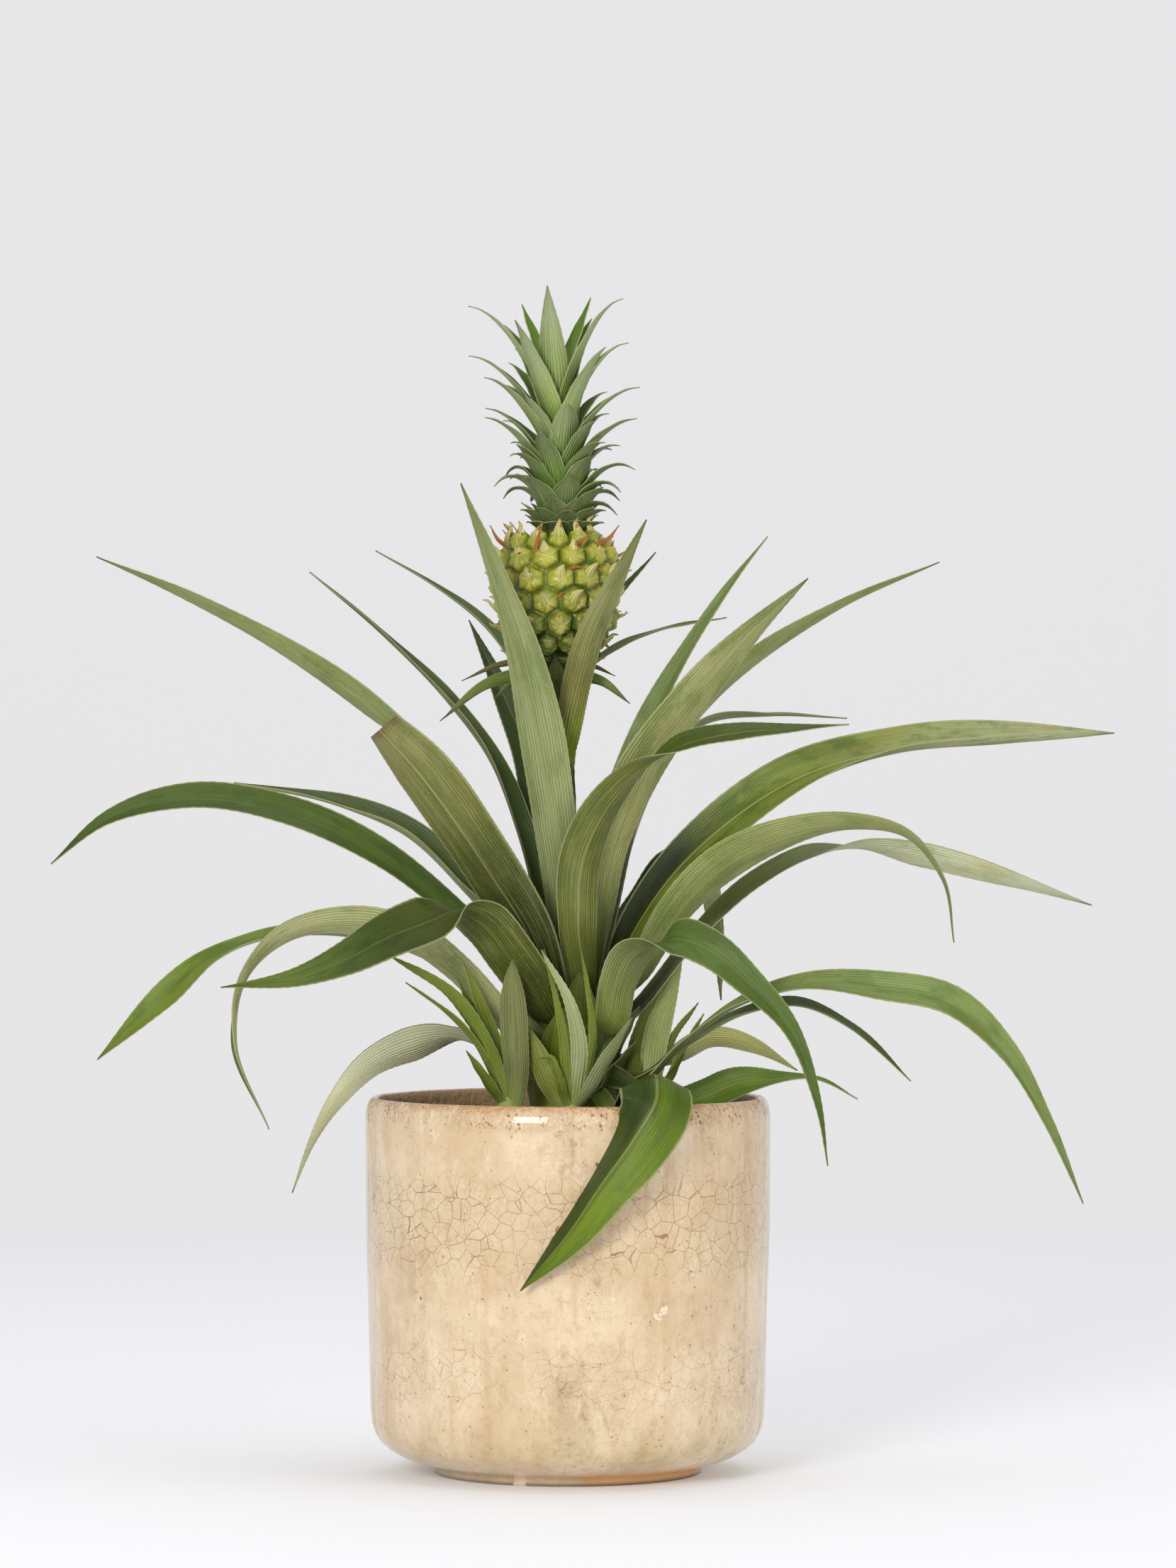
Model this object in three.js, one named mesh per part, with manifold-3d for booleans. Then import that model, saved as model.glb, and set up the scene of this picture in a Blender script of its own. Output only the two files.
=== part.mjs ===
// Potted pineapple plant: a rosette of strap leaves on a short stem, one fruit on a stalk with
// its tuft of leaves, three young shoots at the foot, all in a glazed stoneware cover pot.
// Millimetres, +Z up, -Y is the front. The origin is the middle of the pot's foot, on the floor.
import * as THREE from 'three';
import { mergeVertices } from 'three/addons/utils/BufferGeometryUtils.js';
import Module from 'manifold-3d';

const wasm = await Module();
wasm.setup();

// Pot
const POT_RADIUS = 80;
const POT_HEIGHT = 148;
const POT_WALL = 7;
const POT_FLOOR = 11.5;
const FOOT_RADIUS = 53;
const POT_SIDES = 40;

// Soil
const SOIL_LEVEL = 137;
const SOIL_HEAP = 4;

// Gap between a piece and what carries it
const GAP = 0.3;

// Stem and fruit stalk: height, midline x, radius
const STEM = [
  [118, 1, 14.5],
  [140, 1, 14.5],
  [150, 1, 14],
  [160, 1, 13],
  [170, 1, 11.6],
  [180, 1, 10],
  [190, 1, 8.4],
  [200, 1, 6.9],
  [212, 1, 5.4],
  [228, 0.4, 4.6],
  [250, -0.6, 4.3],
  [270, -1.3, 4.3],
  [290, -3, 4.2],
  [308, -4.5, 4.4],
  [320, -4.5, 5.2],
];
const STEM_SIDES = 14;

// Fruit: height and radius of its profile, midline x
const FRUIT_X = -4.5;
const FRUIT_PROFILE = [
  [320.4, 8],
  [322.5, 15],
  [327, 18.6],
  [334, 21],
  [342, 23],
  [350, 24],
  [358, 23],
  [364, 20.6],
  [369, 17],
  [371, 11.5],
];
const FRUITLETS_PER_TURN = 12.5;
const FRUITLET_ROWS = 6;
const FRUITLET_RISE = 1.5;
const FRUITLET_GROOVE = 2;

// Leaf blades
const BLADE = 0.8;
const BLADE_FOOT = 1.3;

// The leaves' midribs are given as they are sighted from the front, from 2.38 m away at the
// height of 271 mm: x and z as they appear at the pot's axis, with the depth behind it.
const SIGHT_X = 8;
const SIGHT_Z = 271.3;
const SIGHT_DISTANCE = 2380;

const v3 = (x, y, z) => new THREE.Vector3(x, y, z);
const UP = v3(0, 0, 1);
const radians = THREE.MathUtils.degToRad;

function sighted(point) {
  const spread = 1 + point[1] / SIGHT_DISTANCE;
  const x = SIGHT_X + (point[0] - SIGHT_X) * spread;
  const z = SIGHT_Z + (point[2] - SIGHT_Z) * spread;
  return v3(x, point[1], z);
}

function bearing(degrees) {
  return v3(Math.cos(radians(degrees)), Math.sin(radians(degrees)), 0);
}

function mix(a, b, t) {
  return a + (b - a) * t;
}

function ease(t) {
  const s = Math.min(1, Math.max(0, t));
  return s * s * (3 - 2 * s);
}

// Value of a table of rows [height, value, ...] at a height
function along(rows, height, column) {
  if (height <= rows[0][0]) {
    return rows[0][column];
  }
  for (let i = 1; i < rows.length; i += 1) {
    if (height <= rows[i][0]) {
      const t = (height - rows[i - 1][0]) / (rows[i][0] - rows[i - 1][0]);
      return mix(rows[i - 1][column], rows[i][column], t);
    }
  }
  return rows[rows.length - 1][column];
}

// A seeded draw between -1 and 1
function draw(seed) {
  const s = Math.sin(seed * 127.1 + 31.7) * 43758.5453;
  return (s - Math.floor(s)) * 2 - 1;
}

// Closed solid from shared corners and triangles, turned to face outwards
function solid(corners, triangles) {
  let volume = 0;
  for (const [a, b, c] of triangles) {
    volume += corners[a].dot(v3().crossVectors(corners[b], corners[c]));
  }
  const vertProperties = new Float32Array(corners.length * 3);
  corners.forEach((p, i) => p.toArray(vertProperties, i * 3));
  const order = volume < 0 ? triangles.map(([a, b, c]) => [a, c, b]) : triangles;
  const triVerts = new Uint32Array(order.flat());
  return new wasm.Manifold(new wasm.Mesh({ numProp: 3, vertProperties, triVerts }));
}

// Skin over a stack of closed loops with the same number of corners, capped at both ends
function skinned(loops, cap) {
  const count = loops[0].length;
  const corners = loops.flat();
  const triangles = [];
  for (let i = 0; i + 1 < loops.length; i += 1) {
    for (let j = 0; j < count; j += 1) {
      const a = i * count + j;
      const b = i * count + (j + 1) % count;
      const c = a + count;
      const d = b + count;
      if (cap.mirrored && j >= count / 2) {
        triangles.push([a, b, c], [b, d, c]);
      } else {
        triangles.push([a, b, d], [a, d, c]);
      }
    }
  }
  const last = (loops.length - 1) * count;
  for (const [a, b, c] of cap.faces) {
    triangles.push([c, b, a], [last + a, last + b, last + c]);
  }
  return solid(corners, triangles);
}

function fan(count) {
  const faces = [];
  for (let j = 1; j + 1 < count; j += 1) {
    faces.push([0, j, j + 1]);
  }
  return { faces, mirrored: false };
}

// Round bar along a line of [centre, radius] stations, rings level or square to the line
function bar(stations, sides, square) {
  const loops = stations.map(([centre, radius], i) => {
    let across = v3(1, 0, 0);
    let second = v3(0, 1, 0);
    if (square) {
      const before = stations[Math.max(0, i - 1)][0];
      const after = stations[Math.min(stations.length - 1, i + 1)][0];
      const run = after.clone().sub(before).normalize();
      const side = Math.abs(run.z) < 0.9 ? UP : v3(1, 0, 0);
      across = v3().crossVectors(side, run).normalize();
      second = v3().crossVectors(run, across);
    }
    const loop = [];
    for (let j = 0; j < sides; j += 1) {
      const turn = (j / sides) * Math.PI * 2;
      loop.push(centre.clone()
        .addScaledVector(across, radius * Math.cos(turn))
        .addScaledVector(second, radius * Math.sin(turn)));
    }
    return loop;
  });
  return skinned(loops, fan(sides));
}

// Turned body: profile of [radius, height], from the axis back to the axis
function turned(profile, sides) {
  const points = profile.map(([r, z]) => new THREE.Vector2(r, z));
  const lathe = new THREE.LatheGeometry(points, sides);
  lathe.rotateX(Math.PI / 2);
  lathe.deleteAttribute('normal');
  lathe.deleteAttribute('uv');
  const merged = mergeVertices(lathe, 1e-3);
  const at = merged.getAttribute('position');
  const corners = [];
  for (let i = 0; i < at.count; i += 1) {
    corners.push(v3(at.getX(i), at.getY(i), at.getZ(i)));
  }
  const index = merged.getIndex().array;
  const triangles = [];
  for (let i = 0; i < index.length; i += 3) {
    const [a, b, c] = [index[i], index[i + 1], index[i + 2]];
    if (a !== b && b !== c && a !== c) {
      triangles.push([a, b, c]);
    }
  }
  return solid(corners, triangles);
}

// Midline through points, with a set direction at its start
function midline(points, start, steps) {
  const n = points.length;
  const chord = [];
  for (let i = 0; i + 1 < n; i += 1) {
    chord.push(points[i].distanceTo(points[i + 1]));
  }
  const slope = points.map((p, i) => {
    if (i === 0) {
      return start.clone().normalize();
    }
    const before = p.clone().sub(points[i - 1]).divideScalar(chord[i - 1]);
    if (i === n - 1) {
      return before;
    }
    const after = points[i + 1].clone().sub(p).divideScalar(chord[i]);
    const weight = chord[i] / (chord[i - 1] + chord[i]);
    return before.multiplyScalar(weight).addScaledVector(after, 1 - weight);
  });
  const out = [];
  for (let i = 0; i + 1 < n; i += 1) {
    for (let k = 0; k < steps; k += 1) {
      const t = k / steps;
      const h00 = 2 * t * t * t - 3 * t * t + 1;
      const h10 = t * t * t - 2 * t * t + t;
      const h01 = 3 * t * t - 2 * t * t * t;
      const h11 = t * t * t - t * t;
      out.push({
        at: points[i].clone().multiplyScalar(h00)
          .addScaledVector(slope[i], h10 * chord[i])
          .addScaledVector(points[i + 1], h01)
          .addScaledVector(slope[i + 1], h11 * chord[i]),
        span: i + t,
      });
    }
  }
  out.push({ at: points[n - 1].clone(), span: n - 1 });
  return out;
}

// Strap blade: a channelled section carried along a midline. faces are the ways the upper
// side looks at the given points; width, channel and thickness are functions of the share of
// the length.
function blade(points, faces, start, steps, shape) {
  const line = midline(points, start, steps);
  const run = [0];
  for (let i = 1; i < line.length; i += 1) {
    run.push(run[i - 1] + line[i].at.distanceTo(line[i - 1].at));
  }
  const total = run[run.length - 1];
  const across = shape.across;
  const loops = line.map(({ at, span }, i) => {
    const before = line[Math.max(0, i - 1)].at;
    const after = line[Math.min(line.length - 1, i + 1)].at;
    const forward = i === 0 ? start.clone().normalize() : after.clone().sub(before).normalize();
    const k = Math.min(faces.length - 2, Math.floor(span));
    const wish = faces[k].clone().normalize().lerp(faces[k + 1].clone().normalize(), span - k);
    const upper = wish.addScaledVector(forward, -wish.dot(forward)).normalize();
    const side = v3().crossVectors(upper, forward);
    const t = run[i] / total;
    const width = shape.width(t);
    const channel = shape.channel(t);
    const thick = shape.thick(t);
    const deep = Math.abs(channel) < 0.01 ? 0 : (width / channel) * (1 - Math.cos(channel / 2));
    const settle = shape.centred ? 0.45 * deep * ease(t / 0.2) : 0;
    const top = [];
    const under = [];
    for (let j = 0; j < across; j += 1) {
      const s = (2 * j) / (across - 1) - 1;
      const turn = (s * channel) / 2;
      const bow = Math.abs(channel) < 0.01 ? null : width / channel;
      const out = bow === null ? (s * width) / 2 : bow * Math.sin(turn);
      const lift = bow === null ? 0 : bow * (1 - Math.cos(turn)) - settle;
      const middle = at.clone().addScaledVector(side, out).addScaledVector(upper, lift);
      const normal = upper.clone().multiplyScalar(Math.cos(turn))
        .addScaledVector(side, -Math.sin(turn));
      const half = (thick * (1 - 0.2 * s * s)) / 2;
      top.push(middle.clone().addScaledVector(normal, half));
      under.push(middle.clone().addScaledVector(normal, -half));
    }
    return [...top, ...under.reverse()];
  });
  const faces2 = [];
  for (let j = 0; j + 1 < across; j += 1) {
    const a = j;
    const b = j + 1;
    const c = 2 * across - 2 - j;
    const d = 2 * across - 1 - j;
    faces2.push([a, b, c], [a, c, d]);
  }
  return skinned(loops, { faces: faces2, mirrored: true });
}

function stemAt(height) {
  return v3(along(STEM, height, 1), 0, height);
}

// Width along a strap leaf: a narrower foot, the widest part, a long point
function strapWidth(leaf) {
  const { wide, foot: [, , footShare = 0.7] } = leaf;
  const widest = leaf.widest ?? 0.42;
  const power = leaf.point ?? 1.8;
  const taper = leaf.taper ?? 1.15;
  const end = leaf.end ?? 1.3;
  return (t) => {
    if (t < widest) {
      return wide * mix(footShare, 1, Math.sin((t / widest) * Math.PI / 2));
    }
    const s = (t - widest) / (1 - widest);
    return mix(end, wide, (1 - s ** power) ** taper);
  };
}

// Rosette leaf from its foot on the stem; grow is added all round for a cutting copy
function strapLeaf(leaf, grow) {
  const [turn, height] = leaf.foot;
  const out = bearing(turn);
  const ring = along(STEM, height, 2) + GAP + BLADE_FOOT / 2;
  const foot = stemAt(height).addScaledVector(out, ring);
  const rest = leaf.midrib.map(sighted);
  const points = [foot, ...rest];
  const faces = [out.clone().negate(), ...leaf.midrib.map((p) => v3(p[3], p[4], p[5]))];
  const lean = leaf.lean ?? 0.22;
  const start = UP.clone().addScaledVector(out, lean);
  const width = strapWidth(leaf);
  const clasp = width(0) / ring;
  const [mid, tip] = leaf.cup;
  return blade(points, faces, start, leaf.steps ?? 2, {
    across: leaf.across ?? 5,
    centred: true,
    width: (t) => width(t) + grow * 2,
    channel: (t) => {
      const blend = mix(radians(mid), radians(tip), ease((t - 0.35) / 0.6));
      return mix(clasp, blend, ease(t / 0.2));
    },
    thick: (t) => mix(BLADE_FOOT, BLADE, ease(t / 0.3)) + grow * 2,
  });
}

// Every leaf: foot as bearing on the stem, height and share of the full width; full width;
// channel in the middle and at the tip in degrees; midrib points as sighted with the way the
// upper side looks.
const LEAVES = {
  leaf_tall_front: {
    foot: [250, 201, 0.5],
    wide: 19.5,
    cup: [44, 30],
    widest: 0.45,
    point: 1.35,
    taper: 1.1,
    midrib: [
      [-3, -17, 236, 2, 9, 0],
      [-6.2, -21, 262, 3, 9, 0],
      [-12.3, -24, 300, 3, 9, 1],
      [-19.6, -30, 330, 3, 9, 1],
      [-26.5, -33, 350, 4, 8, 2],
      [-42.2, -35, 390, 4, 8, 2],
    ],
  },
  leaf_cut_tip: {
    foot: [228, 181, 0.6],
    wide: 27,
    cup: [42, 55],
    widest: 0.75,
    end: 21,
    point: 2.2,
    midrib: [
      [-15, -22, 212, 4, 8, 2],
      [-28.5, -27, 234, 4, 8, 2],
      [-43, -31, 256, 4, 8, 3],
      [-59.5, -34, 278, 4, 8, 3],
      [-73.5, -35, 293.5, 4, 6, 5],
    ],
  },
  leaf_back_left_long: {
    foot: [150, 177, 0.6],
    wide: 18,
    cup: [65, 50],
    point: 1.9,
    midrib: [
      [-12, 14, 206, 5, -6, 3],
      [-26, 25, 238, 5, -2, 6],
      [-50, 42, 276, 5, 3, 7],
      [-80, 56, 303, 4, 6, 7],
      [-110, 68, 323.5, 3, 6, 7],
      [-146, 80, 343.5, 3, 6, 7],
      [-186, 90, 361, 2, 5, 8],
    ],
  },
  leaf_back_left_narrow: {
    foot: [185, 188, 0.5],
    wide: 14,
    cup: [105, 80],
    across: 3,
    midrib: [
      [-12, 3, 229, 6, -5, 2],
      [-19, 9, 256, 6, -4, 3],
      [-28, 17, 279, 6, -3, 5],
      [-46.5, 30, 304.5, 6, -2, 7],
      [-72, 45, 330, 5, -1, 8],
      [-101.8, 58, 355, 4, -1, 8],
    ],
  },
  leaf_back_left_high: {
    foot: [105, 187, 0.5],
    wide: 13,
    cup: [100, 80],
    across: 3,
    midrib: [
      [-4, 22, 226, 2, -9, 3],
      [-8, 40, 270, 3, -8, 4],
      [-15, 56, 310, 4, -7, 5],
      [-32, 72, 334, 4, -3, 8],
      [-52, 86, 349.5, 4, -2, 9],
      [-75.8, 98, 363.4, 4, -2, 9],
    ],
  },
  leaf_back_upright: {
    foot: [148, 197, 0.45],
    wide: 17,
    cup: [60, 35],
    across: 3,
    midrib: [
      [-6, 14, 226, 3, -9, 0],
      [-9.5, 22, 252, 3, -9, 1],
      [-16, 31, 284, 3, -9, 2],
      [-26, 38, 308, 3, -9, 2],
      [-39, 43, 336, 4, -8, 3],
    ],
  },
  leaf_back_hidden: {
    foot: [95, 199, 0.45],
    wide: 10,
    cup: [60, 45],
    across: 3,
    midrib: [
      [-2, 12, 232, 0, -9, 1],
      [-3, 22, 262, 0, -9, 2],
      [1, 38, 300, -1, -9, 3],
      [10.5, 52, 333, -2, -8, 3],
      [34.7, 66, 362.8, -3, -7, 4],
    ],
  },
  leaf_right_upright: {
    foot: [35, 197, 0.45],
    wide: 14.5,
    cup: [75, 55],
    across: 3,
    midrib: [
      [10.5, 7, 238, -5, -6, 1],
      [18, 11, 262, -6, -6, 3],
      [29.5, 16, 291, -6, -6, 4],
      [43.5, 19, 318, -6, -6, 5],
      [59.5, 21, 343.5, -6, -5, 6],
      [78.9, 24, 369, -6, -4, 6],
    ],
  },
  leaf_right_broad: {
    foot: [335, 190, 0.55],
    wide: 21.5,
    cup: [50, 35],
    widest: 0.5,
    point: 1.9,
    midrib: [
      [12, -9, 224, -4, 8, 1],
      [16.5, -13, 248, -4, 8, 2],
      [29, -16, 277, -4, 8, 3],
      [46.5, -18, 301.5, -4, 8, 4],
      [69, -21, 328, -4, 8, 4],
      [94.8, -25, 352.5, -4, 8, 4],
    ],
  },
  leaf_back_right_long: {
    foot: [48, 178, 0.6],
    wide: 17,
    cup: [65, 50],
    midrib: [
      [14, 15, 214, -5, -6, 3],
      [23, 26, 246, -5, -2, 6],
      [41.5, 42, 286, -5, 4, 7],
      [70, 58, 317.8, -4, 5, 7],
      [106, 72, 341, -3, 5, 7],
      [146.6, 84, 358.9, -3, 4, 8],
    ],
  },
  leaf_right_level: {
    foot: [10, 186, 0.5],
    wide: 15,
    cup: [95, 80],
    across: 3,
    midrib: [
      [15, 5, 222, -8, -3, 3],
      [23, 10, 256, -8, -2, 5],
      [35, 19, 281, -6, -1, 8],
      [54, 32, 296, -3, 0, 9],
      [80, 44, 298.8, 0, 0, 9],
      [110.2, 54, 297.3, 1, 0, 9],
    ],
  },
  leaf_arched_right: {
    foot: [300, 184, 0.55],
    wide: 19,
    cup: [62, 42],
    midrib: [
      [4, -21, 216, -1, 9, 0],
      [5, -24, 240, -3, 9, 1],
      [13, -27, 260, -5, 7, 4],
      [27, -30, 276.5, -4, 4, 7],
      [45, -33, 287, -2, -5, 8],
      [68, -37, 291.8, 0, -7, 7],
      [90, -41, 293.2, 0, -5, 8],
      [111, -45, 294.8, 0, -3, 9],
    ],
  },
  leaf_long_right: {
    foot: [350, 176, 0.6],
    wide: 25,
    cup: [60, 150],
    widest: 0.6,
    point: 3.5,
    midrib: [
      [25, -8, 212, -7, -5, 2],
      [41, -12, 236, -6, -7, 4],
      [62, -15, 256, -4, -8, 6],
      [93, -18, 276, -2, -6, 7],
      [130, -20, 287, -1, -3.5, 8],
      [172, -21, 290.3, 0, -3, 8],
      [215.7, -21, 291.5, 2, -2, 9],
    ],
  },
  leaf_hooked_right: {
    foot: [340, 171, 0.55],
    wide: 19,
    cup: [60, 75],
    point: 1.6,
    midrib: [
      [28, -16, 196, -7, 7, 1],
      [42, -23, 220, -5, 8, 3],
      [61, -29, 239, -3, 8, 4],
      [85, -33, 251, -1, 7, 6],
      [112, -37, 255.5, 0, 5, 8],
      [134, -40, 251, 3, 2, 8],
      [148, -42, 234, 8, 1, 3],
      [152.5, -43, 208.7, 9, 1, -2],
    ],
  },
  leaf_twisted_right: {
    foot: [8, 166, 0.6],
    wide: 15.5,
    cup: [60, 40],
    widest: 0.62,
    midrib: [
      [31, -1, 186, -6, -4, 4],
      [52, -1, 212.5, -4, -3, 7],
      [74, 3, 232.5, -3, -4, 7],
      [97, 8, 244.5, 0, -3, 8],
      [114, 13, 247, 0, 2, 9],
      [138, 18, 243, 1, 7, 7],
      [170, 23, 235, 2, 7, 6],
      [206.7, 27, 223.5, 2, 6, 7],
    ],
  },
  leaf_arched_left: {
    foot: [204, 175, 0.6],
    wide: 17,
    cup: [65, 55],
    widest: 0.5,
    point: 2.4,
    midrib: [
      [-23, -9, 198, 8, -4, 2],
      [-44, -12, 219.5, 4, -6, 6],
      [-74, -14, 243, 3, -7, 7],
      [-110, -16, 260, 2, -7, 6.5],
      [-150, -17, 266, 0, -7, 6],
      [-182, -17, 257.5, -3, -7, 6],
      [-204, -17, 239.7, -5, -6, 5],
    ],
  },
  leaf_arched_left_behind: {
    foot: [172, 172, 0.6],
    wide: 19,
    cup: [130, 100],
    midrib: [
      [-20, 9, 205, 8, -1, 2],
      [-40, 17, 232, 5, -4, 5],
      [-62, 24, 252.5, 4, -4, 7],
      [-88, 31, 263.5, 2, -4, 8],
      [-131.7, 38, 271.9, 1, -2, 9],
    ],
  },
  leaf_folded_left: {
    foot: [250, 170, 0.65],
    wide: 23.5,
    cup: [48, 35],
    widest: 0.48,
    point: 1.5,
    taper: 1.3,
    steps: 1,
    midrib: [
      [-11, -26, 186, 3, 9, 1],
      [-22.5, -33, 203, 3, 9, 1],
      [-34, -40, 217, 3, 8, 3],
      [-44, -46, 222.5, 1, 1, 9],
      [-54, -51, 218, -1, -8, 5],
      [-70, -56, 211.5, -1, -9, 4],
      [-87, -60, 202.5, -1, -9, 4],
      [-106, -63, 195.2, -1, -9, 4],
      [-137, -65, 191, 0, -8, 5],
    ],
  },
  leaf_hooked_left: {
    foot: [226, 163, 0.6],
    wide: 18.5,
    cup: [60, 75],
    point: 1.6,
    midrib: [
      [-29, -16, 182, 6, 7, 2],
      [-43, -20, 197, 5, 7, 4],
      [-62, -24, 211, 3, 7, 6],
      [-88, -29, 216.5, 0, 6, 7.5],
      [-112, -33, 211, -3, 5, 7],
      [-128, -35, 194, -8, 1, 4],
      [-131.5, -36, 170, -9, -2, 1],
      [-118, -36, 135, -9, -2, -3],
    ],
  },
  leaf_low_left: {
    foot: [184, 158, 0.6],
    wide: 16,
    cup: [60, 45],
    widest: 0.7,
    point: 2.2,
    midrib: [
      [-23, 3, 175, 7, -2, 4],
      [-42, 5, 195, 5, -2, 7],
      [-66, 7, 207.5, 3, -2, 9],
      [-96, 8, 213, 0, -2, 9],
      [-128, 9, 208.7, -2, -2, 9],
      [-141, 9.5, 202.5, -2, -4, 8],
      [-158, 10, 188.5, -4, -8, 4],
      [-185.7, 10, 162.5, -5, -7, 4],
    ],
  },
  leaf_pale_left: {
    foot: [160, 153, 0.6],
    wide: 16.5,
    cup: [48, 40],
    widest: 0.42,
    point: 1.3,
    taper: 1.5,
    midrib: [
      [-28, 11, 166, 6, 4, 5],
      [-44, 16, 172, 1, 3, 9],
      [-62, 20, 168, -2, 9, 4],
      [-77.5, 22, 161, -4, 9, 3],
      [-91, 24, 146.5, -6, 8, 1],
      [-101, 25, 130, -6, 8, 0],
      [-108.8, 25, 110, -7, 7, 0],
    ],
  },
  leaf_folded_right: {
    foot: [303, 168, 0.55],
    wide: 19.5,
    cup: [42, 38],
    widest: 0.38,
    point: 1.05,
    taper: 1.35,
    steps: 1,
    midrib: [
      [17, -24, 177, -3, 9, 0],
      [20, -30, 192, -4, 8, 1],
      [25, -36, 203, -3, 7, 4],
      [33, -42, 208.5, 0, 1, 9],
      [44.5, -47, 210.5, 0, -8, 5],
      [56, -52, 206, 1, -9, 4],
      [72, -57, 192.5, 3, -9, 2],
      [86.5, -61, 177, 4, -8, 1],
      [99, -64, 144, 5, -8, 0],
      [102.6, -64, 120.6, 5, -8, 0],
    ],
  },
  leaf_long_low_right: {
    foot: [325, 156, 0.6],
    wide: 14.5,
    cup: [65, 45],
    widest: 0.55,
    point: 1.7,
    taper: 1.2,
    midrib: [
      [27, -19, 151.5, -5, 1, 8],
      [45, -24, 168.5, -5, 0, 8],
      [66, -29, 184, -3, -1, 9],
      [92, -34, 192.3, 0, -4, 8],
      [124, -39, 191.3, 1, -8, 5],
      [151, -43, 185.7, 2, -8, 4],
      [173, -46, 166, 5, -8, 4],
      [189, -48, 139, 6, -7, 3],
      [203.4, -49, 105.7, 6, -7, 2],
    ],
  },
  leaf_narrow_low_right: {
    foot: [352, 152, 0.6],
    wide: 11.5,
    cup: [65, 45],
    across: 3,
    midrib: [
      [29, -9, 156, -5, 0, 8],
      [48, -12, 169.5, -4, -1, 8],
      [70, -13, 181.5, -2, -2, 9],
      [90, -13, 184.8, 0, -3, 9],
      [112, -13, 175.5, 2, -4, 8],
      [135.4, -13, 154, 4, -4, 7],
    ],
  },
  leaf_over_rim: {
    foot: [20, 149, 0.5],
    wide: 15.5,
    cup: [46, 45],
    widest: 0.46,
    point: 1.3,
    taper: 1.3,
    across: 3,
    midrib: [
      [27, 9, 147, -3, -4, 8],
      [42, 9.5, 144.5, -1, -7, 6],
      [54, 9, 148, -2, -8, 5],
      [66, 7, 153, -1, -8, 5],
      [82, 5, 155, 0, -5, 8],
      [98, 3, 155.2, 2, -2, 9],
      [114.4, 1, 147, 3, -2, 8],
    ],
  },
  leaf_pale_low_right: {
    foot: [38, 159, 0.6],
    wide: 12.5,
    cup: [48, 40],
    across: 3,
    midrib: [
      [24, 16, 160, -4, 4, 7],
      [42, 25, 164, -3, 6, 7],
      [56, 31, 171, -1, 8, 5],
      [73, 38, 168, 1, 8, 5],
      [90.6, 44, 158.3, 2, 7, 5],
    ],
  },
  leaf_draped_front: {
    foot: [298, 147, 0.4],
    wide: 30,
    cup: [-75, -30],
    widest: 0.5,
    point: 1.5,
    steps: 1,
    midrib: [
      [14, -27, 141.3, 0, 0, 9],
      [24, -45, 143, 0, -1, 9],
      [32.5, -62, 150.5, 0, -2, 9],
      [36.5, -75, 152, -1, -5, 8],
      [36.5, -84, 141, -1, -9, 3],
      [32, -86, 127, -1, -9, 0],
      [21, -86, 108.5, -1, -9, 0],
      [3, -85, 89, -1, -9, 0],
      [-18.7, -84, 71.6, -1, -9, 0],
    ],
  },
  leaf_drooping_back: {
    foot: [70, 168, 0.6],
    wide: 14,
    cup: [60, 45],
    across: 3,
    midrib: [
      [15, 22, 200, -4, -7, 3],
      [29, 36, 226, -5, -6, 5],
      [43.5, 45, 242.5, -3, -5, 7],
      [52.5, 50, 237, 4, 1, 8],
      [58, 53, 218, 8, 3, 3],
      [60.5, 55, 186, 9, 4, 1],
    ],
  },
};

// The two leaves on the fruit stalk; their feet sit against it
const STALK_LEAVES = {
  leaf_stalk_front: {
    foot: [272, 279, 0.7],
    wide: 12.5,
    cup: [75, 40],
    lean: 0.12,
    widest: 0.42,
    across: 3,
    midrib: [
      [0, -9, 292, 1, 9, 0],
      [4, -15, 312, -2, 9, 1],
      [9.5, -26, 331, -3, 9, 1],
      [17, -32, 347, -4, 8, 2],
      [31, -33, 375.7, -4, 8, 2],
    ],
  },
  leaf_stalk_back: {
    foot: [40, 300, 0.8],
    wide: 5,
    cup: [70, 50],
    lean: 0.5,
    midrib: [
      [4, 12, 312, -2, -4, 7],
      [14, 22, 322, -2, -4, 8],
      [34, 30, 331.5, -2, -3, 9],
      [62.7, 36, 337, -1, -3, 9],
    ],
  },
};

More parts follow.
